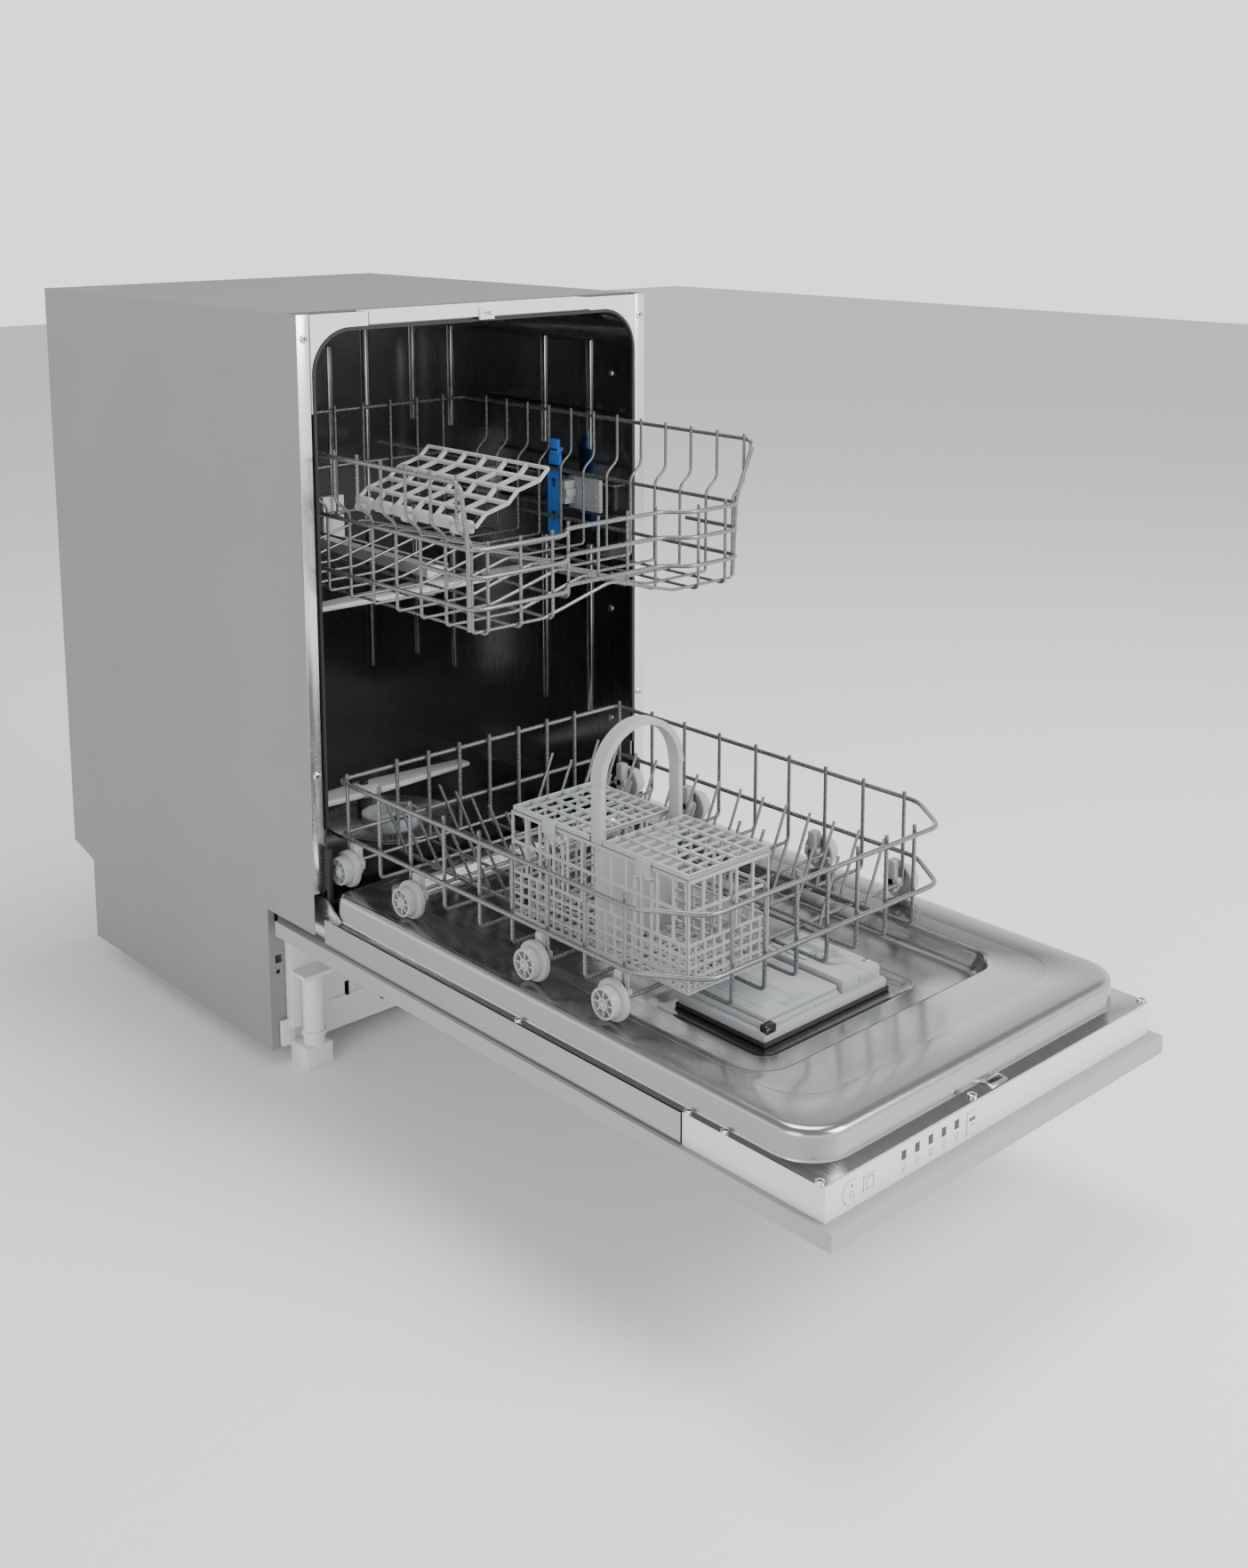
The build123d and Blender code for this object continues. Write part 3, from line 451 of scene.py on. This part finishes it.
def rack_adjusters():
    """Roller carriers on both sides of the upper rack, each with its blue lever."""
    for hand, side in zip(HANDS, ("left", "right")):
        node = side + "_adjuster_lever"
        bm = bmesh.new()
        for reach, depths, heights, rounding in (
                ((180, 183.5), (92, 113.6), (508, 592), 1.2),
                ((180, 184.5), (93, 113), (586, 604), 2),
                ((180, 186), (95, 111), (600, 612), 2),
                ((180, 189), (96, 110), (606, 611), 1.5),
                ((180.2, 184.6), (96, 110), (610, 621), 2),
                ((179.4, 181), (92, 94.6), (512, 588), 0.6),
                ((179.4, 181), (111, 113.6), (512, 588), 0.6)):
            side_block(bm, hand, reach, depths, heights, rounding)
        piece(bm, node + "_moulded", blue_pp, side + "_lever", (node,))
        # arrows that show which way the rack moves
        bm = bmesh.new()
        for z in (534, 572):
            for depths, heights in (((101.6, 104.4), (z - 7, z)), ((99.6, 106.4), (z, z + 2)),
                                    ((101, 105), (z + 2, z + 3.6))):
                side_block(bm, hand, (179.5, 180.2), depths, heights)
        piece(bm, node + "_arrows", dark_pp_and_recess_shade, side + "_lever")
    bm = bmesh.new()
    for hand in HANDS:
        for d0, d1 in ((38, 92), (222, 258)):
            side_block(bm, hand, (192, 197.6), (d0, d1), (541, 579), 1.6)
            for z in (549, 560, 571):
                side_block(bm, hand, (190.6, 192.4), (d0 + 5, d1 - 5), (z - 1.2, z + 1.2), 0.5)
        for d in (87, 227):
            side_block(bm, hand, (176, 192.5), (d - 8, d + 4), (548, 575), 2)
            side_block(bm, hand, (176, 192.5), (d - 11, d - 7), (556, 566), 1)
        for d in ROLLER_DEPTHS:
            disc(bm, (hand * 197.4, d, ROLLER_Z), out_of(hand), 4, 5.6)
    piece(bm, "adjuster_housings", grey_pp, "upper_rack", ("rack_adjusters",))
    for node, d in zip(("upper_rollers_front", "upper_rollers_rear"), ROLLER_DEPTHS):
        bm = bmesh.new()
        for hand in HANDS:
            turned(bm, (hand * 198.2, d, ROLLER_Z), out_of(hand),
                   ((4.4, 0), (14.5, 0), (16.3, 1), (16.3, 3.6), (14.5, 4.6), (12, 4.6), (11, 3),
                    (7.5, 3), (6.5, 4.6), (4.4, 4.6)))
        piece(bm, node + "_turned", grey_pp, node, (node,))


def spray_arm(name, centre, length, node):
    """Hollow blade that tapers to rounded ends, with a row of jets on its top."""
    x, d, bottom = centre
    thickness, half_width = 8, 18
    top = bottom + thickness
    pin = place(x, d, bottom)
    bm = bmesh.new()
    for hand in HANDS:
        tip = hand * length / 2
        x0, x1 = sorted((hand * 12.0, tip))
        verts = block(bm, (x + x0, d - half_width, bottom), (x + x1, d + half_width, top))
        for v in verts:
            if abs(v.co.x - (x + tip) * MM) < MM:
                v.co.y = pin.y + (v.co.y - pin.y) * 0.55
                if v.co.z > pin.z + MM:
                    v.co.z -= 2.2 * MM
    corners = [e for e in bm.edges if len(e.link_faces) == 2 and e.calc_face_angle() > 0.6]
    bmesh.ops.bevel(bm, geom=corners, offset=2.6 * MM, segments=3, profile=0.5, affect="EDGES",
                    material=-1)
    turned(bm, (x, d, bottom - 2), (0, 0, 1),
           ((5.4, 0), (15, 0), (18, 3), (18, thickness + 1), (14, thickness + 4),
            (8, thickness + 5), (5.4, thickness + 5)))
    for i in range(1, 6):
        for hand in HANDS:
            reach = hand * (26 + i * (length / 2 - 42) / 5)
            turned(bm, (x + reach, d + (4 if i % 2 else -4), top - 1.4 - 1.9 * i / 5), (0, 0, 1),
                   ((1.2, 0), (3.4, 0), (3.0, 1.6), (1.2, 1.6)), 14)
    piece(bm, name, white_pp, node, (node,))


# ---------------------------------------------------------------- lower rack

LOWER_FRONT = -478
LOWER_BACK = 5
LOWER_HALF = 188
LOWER_POST = 183.4
LOWER_CORNER = -424
LOWER_POST_TOP = 333
SIDE_DEPTHS = (-4, -58, -109, -162, -215, -262, -311, -360, -411)
WHEEL_Z = 238.3
SPOKES = 8


def lower_rack():
    """Rims, posts, floor and tines of the lower rack."""
    rims = []
    for z in (325, 269):
        rims.append(closed_loop([
            (-LOWER_HALF, LOWER_BACK, z), (-LOWER_HALF, LOWER_CORNER, z), (-150, LOWER_FRONT, z),
            (150, LOWER_FRONT, z), (LOWER_HALF, LOWER_CORNER, z), (LOWER_HALF, LOWER_BACK, z)],
            bend=12))
    posts = []
    for d in SIDE_DEPTHS:
        posts.append(open_wire([
            (-LOWER_POST, d, LOWER_POST_TOP), (-LOWER_POST, d, 240), (LOWER_POST, d, 240),
            (LOWER_POST, d, LOWER_POST_TOP)]))
    front, back = LOWER_FRONT + 4.6, LOWER_BACK - 4.6
    for i in range(-3, 4):
        x = 40 * i
        posts.append(open_wire([
            (x, front, LOWER_POST_TOP), (x, front, 235.9), (x, back, 235.9),
            (x, back, LOWER_POST_TOP)]))
    wires("lower_rack_basket", [(4.8, rims), (3.9, posts)], "lower_rack",
          ("lower_rack_rims", "lower_rack_wires"))
    tines = []
    rails = []
    for x, lean, count, pitch in ((-130, -26, 7, 27), (-62, -26, 7, 27), (38, 26, 14, 31),
                                  (104, 26, 14, 31)):
        for i in range(count):
            d = -28 - pitch * i
            tines.append(open_wire([(x, d, 242), (x + lean * 0.12, d, 252), (x + lean, d, 305)],
                                   bend=4))
        rails.append(open_wire([(x, -20, 244.2), (x, -36 - pitch * (count - 1), 244.2)]))
    wires("lower_rack_plate_tines", [(3.1, tines), (3.6, rails)], "lower_rack",
          ("lower_rack_tines",))


def rack_wheels():
    """Four pairs of wheels under the lower rack, and the clips that hold their axles."""
    clips = bmesh.new()
    for number in (1, 2, 3, 4):
        node = f"rack_wheels_{number}"
        low, high = in_mm(node)
        d = (low.y + high.y) / 2
        axle = Matrix.Translation(place(0, d, WHEEL_Z))
        bm = bmesh.new()
        for hand in HANDS:
            base = (hand * 186.6, d, WHEEL_Z)
            # tread with a wide lip towards the rack, then the open drum
            turned(bm, base, out_of(hand),
                   ((15.6, 0), (17.6, 0), (18.5, 1), (18.5, 5), (17.6, 6), (14.4, 6.6), (14, 15),
                    (13.4, 15.9), (12, 15.9), (11.6, 15), (12, 5), (15, 1.5)), 40)
            # hub and the web behind the spokes
            turned(bm, base, out_of(hand),
                   ((3.4, 1), (12.4, 4), (12.4, 6), (6.2, 7), (5.6, 15.4), (4.8, 15.9),
                    (3.4, 15.9)), 24)
            for k in range(SPOKES):
                turn = Matrix.Rotation(math.tau * k / SPOKES, 4, Vector((1, 0, 0)))
                verts = side_block(bm, hand, (190.5, 201.2), (d - 0.8, d + 0.8),
                                   (WHEEL_Z + 5.2, WHEEL_Z + 12.2))
                bmesh.ops.transform(bm, matrix=axle @ turn @ axle.inverted(), verts=verts)
            side_block(clips, hand, (175, 185.6), (d - 5, d + 5), (230.5, 263), 2)
            side_block(clips, hand, (175, 185.6), (d - 9, d + 9), (236, 246), 2)
            disc(clips, (hand * 185, d, WHEEL_Z), out_of(hand), 3, 18.2, chamfer=0.8, steps=20)
        piece(bm, node + "_spoked", grey_pp, node, (node,))
    piece(clips, "axle_clips", grey_pp, "lower_rack", ("wheel_clips",))


# ---------------------------------------------------------------- cutlery basket

HANDLE_TOP = 450
LID_HINGE_Z = 349
LID_BARREL = 2.3  # radius of the lid's barrel, whose middle is the hinge line


def cutlery_basket():
    """Basket of moulded grids with an arched handle."""
    (left, front, bottom), (right, back, top) = in_mm("cutlery_basket")
    wide, long = right - left, back - front
    step = 288  # below it the grid is fine, above it the windows are tall
    bm = bmesh.new()
    for x in (left + 1.8, right - 2.2):
        lattice(bm, (x, front, bottom), (0, long, 0), (0, 0, step - bottom), 20, 4, 2.2, 1.6)
        lattice(bm, (x, front, step), (0, long, 0), (0, 0, top - step), 12, 2, 2.6, 1.6)
        for d in (front + long * 0.25, front + long * 0.75):
            block(bm, (x - 0.4, d - 12, bottom + 8), (x + 2.2, d - 9, top - 12), 0.8)
            block(bm, (x - 0.4, d + 9, bottom + 8), (x + 2.2, d + 12, top - 12), 0.8)
            block(bm, (x - 0.4, d - 12, top - 15), (x + 2.2, d + 12, top - 11), 0.8)
    for d in (front + 2.2, back - 0.6):
        lattice(bm, (left, d, bottom), (wide, 0, 0), (0, 0, step - bottom), 9, 4, 2.2, 1.6)
        lattice(bm, (left, d, step), (wide, 0, 0), (0, 0, top - step), 5, 2, 2.6, 1.6)
    lattice(bm, (left, front, bottom + 0.2), (wide, 0, 0), (0, long, 0), 10, 22, 2.4, 1.6)
    spine = (front + back) / 2
    block(bm, (left + 1, spine - 1.2, bottom + 1), (right - 1, spine + 1.2, top), 0.5)
    for x0, x1 in ((left, left + 3), (right - 3, right)):
        block(bm, (x0, front, top - 3.5), (x1, back, top), 1)
    for d0, d1 in ((front, front + 3), (back - 3, back)):
        block(bm, (left, d0, top - 3.5), (right, d1, top), 1)
    piece(bm, "cutlery_basket_grid", grey_pp, "basket", ("cutlery_basket",))

    # handle: two legs and a half round arch
    bm = bmesh.new()
    centre = (left + right) / 2
    radius = wide / 2 - 3
    spring = HANDLE_TOP - radius - 3
    for x in (centre - radius, centre + radius):
        block(bm, (x - 3, spine - 6.5, top + 0.2), (x + 3, spine + 6.5, spring), 1.2)
    verts, edges = loop_of(bm, [place(centre + radius + a, spine + b, spring)
                                for a, b in ((-3, -7), (3, -7), (3, 7), (-3, 7))])
    bmesh.ops.spin(bm, geom=verts + edges, cent=place(centre, spine, spring), axis=(0, -1, 0),
                   angle=math.pi, steps=24, use_duplicate=False)
    piece(bm, "basket_handle_arch", grey_pp, "basket", ("basket_handle",))


def basket_lids():
    """Two gridded lids, each hinged along its right edge."""
    for name in ("basket_lid_front", "basket_lid_rear"):
        (left, front, bottom), (right, back, top) = in_mm(name)
        hinge = right - LID_BARREL
        bm = bmesh.new()
        lattice(bm, (left, front, top - 1), (hinge - left, 0, 0), (0, back - front, 0), 5, 8,
                2.4, 1.8)
        for x in (left + 20, left + 39, left + 58, left + 78):
            block(bm, (x - 1.6, front, top - 2.8), (x + 1.6, back, top), 0.5)
        for x0, x1 in ((left - 1, left + 2.4), (hinge - 2.4, hinge)):
            block(bm, (x0, front, bottom + 0.4), (x1, back, top), 0.9)
        for d0, d1 in ((front, front + 2.4), (back - 2.4, back)):
            block(bm, (left, d0, bottom + 0.4), (hinge, d1, top), 0.9)
        # latch on the left edge and two hinge barrels on the right one
        middle = (front + back) / 2
        block(bm, (left - 3.2, middle - 9, bottom - 9), (left - 1.3, middle + 9, top - 0.5), 0.7)
        for d in (front + 16, back - 24):
            turned(bm, (hinge, d, LID_HINGE_Z), (0, 1, 0),
                   ((0.01, 0), (2.2, 0), (2.2, 8), (0.01, 8)), 16)
        piece(bm, name + "_grid", grey_pp, name, (name,))


# ---------------------------------------------------------------- door

def door_liner():
    """Pressed stainless liner: flange, raised dome, a shallow step and the dispenser's pan."""
    bm = bmesh.new()
    # each row: left, right, front, back, front corners' radius, back corners' radius, height
    loops = (
        (-219.5, 219.5, -661, -10, 2, 2, 194.0),
        (-215, 215, -649, -13, 43, 16, 194.0),
        (-213.2, 213.2, -647, -14.5, 41, 15, 194.6),
        (-212.2, 212.2, -646.2, -15.5, 40, 14, 196.5),
        (-211.6, 211.6, -645.6, -16, 40, 14, 213.5),
        (-210, 210, -644, -17.5, 38.5, 13, 217.2),
        (-206.4, 206.4, -640.4, -21, 35, 11, 219.2),
        (-203, 203, -637, -24, 33, 10, 219.5),
        (-178, 178, -606, -30, 44, 12, 219.5),
        (-176.4, 176.4, -604.4, -31.4, 43, 12, 218.9),
        (-174.8, 174.8, -602.8, -32.8, 42, 12, 218.5),
        (-170, 156, -556, -36, 34, 16, 218.5),
        (-166.5, 152, -552.5, -39, 32, 15, 217.0),
        (-164, 149.5, -550, -41, 30, 14, 213.0),
        (-160, 145.5, -546, -45, 28, 13, 203.6),
        (-157, 142.5, -543, -48, 26, 12, 200.9),
        (-153, 138.5, -539, -52, 23, 11, 200.0),
        # moat around the dispenser
        (-121, 89, -513, -362, 18, 18, 200.0),
        (-116, 84, -508, -367, 15, 15, 198.9),
        (-113, 81, -505, -370, 13, 13, 196.2),
        (-109, 77, -501, -374, 11, 11, 195.0),
    )
    pressed(bm, [rounded_outline((x0, d0), (x1, d1), z, front, back)
                 for x0, x1, d0, d1, front, back, z in loops])
    piece(bm, "door_liner_pressed", brushed_stainless, "cabinet", ("door_liner",),
          smooth=40)

    # slot for the striker with its raised rim, and a thin dark plate in it as painted shade
    blocks("lock_slot_rim", bright_zinc, "cabinet",
           [((-9, -658.5, 193.9), (13, -648, 195.2), 1.2)])
    blocks("lock_slot_shadow", smoked_window_and_slot_shade, "cabinet",
           [((-6, -655.6, 195.1), (10, -650.8, 195.5), 0.15)])


def dispenser():
    """Detergent and rinse aid dispenser, set in the liner's pan."""
    # painted shade: a black band just wider than the dispenser, for its shadow on the liner
    blocks("dispenser_gap_shade", black_epdm_and_gap_shade, "cabinet",
           [((-98.4, -491.4, 195.2), (66.4, -383.6, 199.4), 1)])
    blocks("dispenser_moulding", grey_pp, "cabinet", [
        ((-97, -490, 196.6), (65, -385, 207.5), 3),
        ((-92, -486, 206), (5, -389, 213), 3),
        ((8, -486, 206), (61, -389, 221), 4),
        ((14, -436, 220.6), (55, -394, 222.4), 1),
        ((24, -432, 222), (44, -398, 223.6), 0.8),
        ((30, -486.8, 212), (50, -484, 219), 1)], ("dispenser_body",))
    finger_ribs = [((-60, d - 0.6, 217.4), (-26, d + 0.6, 218.6), 0.4) for d in (-480, -477, -474)]
    blocks("dispenser_lid_sliding", grey_pp, "dispenser_lid", [
        ((-89, -484, 213.4), (3, -392, 217.6), 1.4),
        ((-78, -470, 217.2), (-10, -408, 218.4), 0.6),
        ((-74, -466, 218), (-14, -412, 218.6), 0.3)] + finger_ribs, ("dispenser_lid",))
    blocks("dose_window", smoked_window_and_slot_shade, "cabinet",
           [((-95, -490.4, 205), (-82, -482, 213.2), 1.5)])
    bm = bmesh.new()
    disc(bm, (54, -474, 220.9), (0, 0, 1), 3.2, 1.4)
    piece(bm, "dispenser_screw", bright_zinc, "cabinet")


def fascia_marks():
    """Plain printed marks on the control fascia: rings and bars only."""
    face = in_mm("control_fascia")[0].y - 0.05
    front = (0, -1, 0)
    ink = 0.16
    bm = bmesh.new()
    for i in range(5):
        x = -127 + 16.5 * i
        turned(bm, (x, face + 0.15, 174.5), front, ((1.8, 0), (2.3, 0), (2.3, ink), (1.8, ink)),
               24)
        block(bm, (x - 2.6, face, 170.6), (x + 2.6, face + 0.2, 171.1))
    piece(bm, "fascia_printing", grey_ink, "cabinet")

    # marks on the three buttons, which travel with them
    button = face - 0.7
    blocks("start_button_mark", grey_ink, "start_button", [
        ((-46, face - 0.85, 180), (-38, button, 183.4), 0),
        ((-45, face - 0.85, 176.4), (-39, button, 177), 0)])
    bars = [((-172, face - 0.85, z - 0.3), (-164, button, z + 0.3), 0) for z in (174.4, 183.6)]
    bars += [((x - 0.3, face - 0.85, 174.4), (x + 0.3, button, 183.6), 0) for x in (-172, -164)]
    blocks("program_button_mark", grey_ink, "program_button", bars)
    bm = bmesh.new()
    turned(bm, (-189, button, 177.4), front, ((2.3, 0), (2.8, 0), (2.8, ink), (2.3, ink)), 24)
    disc(bm, (-189, button, 184.2), front, 1.2, ink, chamfer=0.02, steps=16)
    piece(bm, "power_button_mark", grey_ink, "power_button")


def recessed_screws():
    """Raised rims and cross slots on the screws along the cabinet's and the door's flanges."""
    forward, upward = (0, -1, 0), (0, 0, 1)
    heads = [((x, -2.0, z), forward) for x in (-216, 216) for z in (337, 767)]
    heads += [((x, d, 195.9), upward) for d in (-310, -520, -560, -656) for x in (-216.2, 216.2)]
    heads.append(((-32, -656, 195.9), upward))
    bm = bmesh.new()
    for head, axis in heads:
        turned(bm, head, axis, ((2.4, 0), (4, 0), (3.4, 0.5), (2.6, 0.6)), 20)
    piece(bm, "screw_rims", bright_zinc, "cabinet")
    # cross slots drawn as thin dark plates on the heads: painted shade in the recesses
    slots = []
    for (x, d, z), axis in heads:
        for a, b in ((1.8, 0.35), (0.35, 1.8)):
            if axis == upward:
                slots.append(((x - a, d - b, z), (x + a, d + b, z + 0.2), 0))
            else:
                slots.append(((x - a, d - 0.3, z - b), (x + a, d, z + b), 0))
    blocks("screw_slot_shade", dark_pp_and_recess_shade, "cabinet", slots)


# ---------------------------------------------------------------- tub and cabinet

TUB_BACK = 513.4


def tub_pressings():
    """Ribs, a round boss and rivets pressed into the tub's walls."""
    bm = bmesh.new()
    for x, z0, z1 in ((-150, 470, 700), (-112, 380, 735), (-74, 300, 700), (74, 300, 700),
                      (112, 380, 735), (150, 470, 700)):
        block(bm, (x - 4, TUB_BACK - 2.4, z0), (x + 4, TUB_BACK + 0.4, z1), 1.1, 3)
    for d in (70, 150, 330, 410):
        for hand in HANDS:
            for heights in ((300, 500), (610, 735)):
                side_block(bm, hand, (203.8, 206.2), (d - 4, d + 4), heights, 1.0, 3)
    turned(bm, (0, TUB_BACK, 400), (0, -1, 0), ((50, 0), (60, 0), (58, 2), (52, 2)), 48)
    # rounded seam around the back wall
    for hand in HANDS:
        side_block(bm, hand, (202, 208), (TUB_BACK - 5, TUB_BACK + 0.4), (262, 735), 2.4, 3)
    # ribs, boss and seams in the lightened steel: painted highlight on their crests
    piece(bm, "tub_pressed_ribs", rib_painted_highlight, "cabinet")
    bm = bmesh.new()
    for z in (700, 470, 430, 300, 270):
        for hand in reversed(HANDS):
            disc(bm, (hand * 205.9, 34, z), out_of(-hand), 4, 1.6, chamfer=0.8, steps=20)
    piece(bm, "tub_rivets", bright_zinc, "cabinet")


def cabinet_trim():
    """Bright edges of the front frame, rubber corner pieces and the levelling legs."""
    strips, corners, legs, ribs = (bmesh.new() for _ in range(4))
    for hand in HANDS:
        side_block(strips, hand, (210.2, 223.9), (-0.7, -0.1), (216.5, 789.6), 0.25)
        side_block(corners, hand, (205.5, 212.4), (-9.5, -0.2), (197, 262), 2.4, 3)
        side_block(corners, hand, (205.5, 212.4), (-9, 0.6), (196, 222), 2.4, 3)
        side_block(legs, hand, (172, 204), (53, 84.8), (0, 24), 1.6)
        x = hand * 188
        turned(legs, (x, 64, 23), (0, 0, 1),
               ((0.01, 0), (11, 0), (11, 74), (10, 76.5), (0.01, 76.5)), 40)
        turned(legs, (x, 64, 34), (0, 0, 1), ((10.6, 0), (12.6, 0), (12.6, 5), (10.6, 5)), 40)
        # clip at the foot of the recessed flange, and the column beside the apron
        side_block(ribs, hand, (199, 215), (82, 87.8), (20, 48), 1.5)
        side_block(ribs, hand, (166, 204), (78, 85.5), (106, 171), 2)
    # rear leg
    turned(legs, (0, 440, 0), (0, 0, 1),
           ((0.01, 0), (17, 0), (18, 1), (18, 4), (16, 5), (6, 6), (6, 17), (0.01, 17)), 36)
    for x in (-118, -60, 0, 60, 118):
        block(ribs, (x - 1.2, 83.4, 56), (x + 1.2, 86, 168), 0.5)
    piece(strips, "front_frame_strips", bright_zinc, "cabinet")
    piece(corners, "rubber_corners", black_epdm_and_gap_shade, "cabinet")
    piece(legs, "levelling_legs", white_abs, "cabinet", ("feet",))
    piece(ribs, "apron_ribs", white_abs, "cabinet")


def back_pressing():
    """Shallow pressed field on the back panel, drawn as its raised edge."""
    back = in_mm("back_panel")[1].y
    edges = ((-180, -176, 180, 740), (176, 180, 180, 740), (-180, 180, 176, 180),
             (-180, 180, 740, 744))
    blocks("back_panel_field", zinc_sheet, "cabinet",
           [((x0, back - 1.2, z0), (x1, back - 0.02, z1), 0.4) for x0, x1, z0, z1 in edges])


upper_rack()
cup_shelf()
rack_adjusters()
spray_arm("upper_arm_blade", (0, 100, 474), 320, "upper_spray_arm")
spray_arm("lower_arm_blade", (0, 238, 206), 300, "lower_spray_arm")
lower_rack()
rack_wheels()
cutlery_basket()
basket_lids()
door_liner()
dispenser()
fascia_marks()
recessed_screws()
tub_pressings()
cabinet_trim()
back_pressing()

# ---------------------------------------------------------------- studio

floor_mesh = bpy.data.meshes.new("studio_floor")
bm = bmesh.new()
bmesh.ops.create_grid(bm, x_segments=1, y_segments=1, size=9.0)
bm.to_mesh(floor_mesh)
bm.free()
floor = bpy.data.objects.new("studio_floor", floor_mesh)
bpy.context.collection.objects.link(floor)
# Seamless white paper: matt, with a barely visible tooth.
paper = surface("seamless_white_paper", "#F4F4F4", 0.9, 3.0, 0.02, tint=0.004)
floor_mesh.materials.append(paper)

world = bpy.data.worlds.new("studio")
bpy.context.scene.world = world
world.use_nodes = True
# White around the horizon and darker overhead, so that steel shows both light and shade.
sky = world.node_tree
direction = add(sky, "ShaderNodeTexCoord")
upward = add(sky, "ShaderNodeSeparateXYZ", Vector=direction.outputs["Generated"])
shades = add(sky, "ShaderNodeValToRGB", Fac=upward.outputs["Z"])
shades.color_ramp.elements[0].position = 0.3
shades.color_ramp.elements[0].color = (1, 1, 1, 1)
shades.color_ramp.elements[1].position = 0.62
shades.color_ramp.elements[1].color = (0.28, 0.28, 0.28, 1)
sky.links.new(shades.outputs["Color"], sky.nodes["Background"].inputs["Color"])
sky.nodes["Background"].inputs["Strength"].default_value = 1.7


def softbox(name, at, aim, size, power):
    """Square area light pointed at a place, all in metres."""
    light = bpy.data.lights.new(name, "AREA")
    light.energy = power
    light.size = size
    lamp = bpy.data.objects.new(name, light)
    bpy.context.collection.objects.link(lamp)
    lamp.location = at
    lamp.rotation_mode = "QUATERNION"
    lamp.rotation_quaternion = (Vector(aim) - Vector(at)).to_track_quat("-Z", "Y")


softbox("front_box", (0.9, -2.4, 2.0), (0, -0.1, 0.3), 1.4, 85)
softbox("left_box", (-2.8, -1.0, 1.4), (0, 0.1, 0.4), 1.4, 20)
softbox("top_box", (0.4, 0.2, 2.8), (0, -0.2, 0.3), 1.2, 45)

camera_data = bpy.data.cameras.new("studio_camera")
camera = bpy.data.objects.new("studio_camera", camera_data)
bpy.context.collection.objects.link(camera)
camera.location = (-1.140, -1.446 + FRONT, 0.9245)
camera.rotation_euler = (math.radians(80), 0, math.radians(-42.7))
camera_data.lens = 41.3
camera_data.sensor_width = 36
camera_data.shift_y = -0.19
camera_data.clip_end = 60
bpy.context.scene.camera = camera
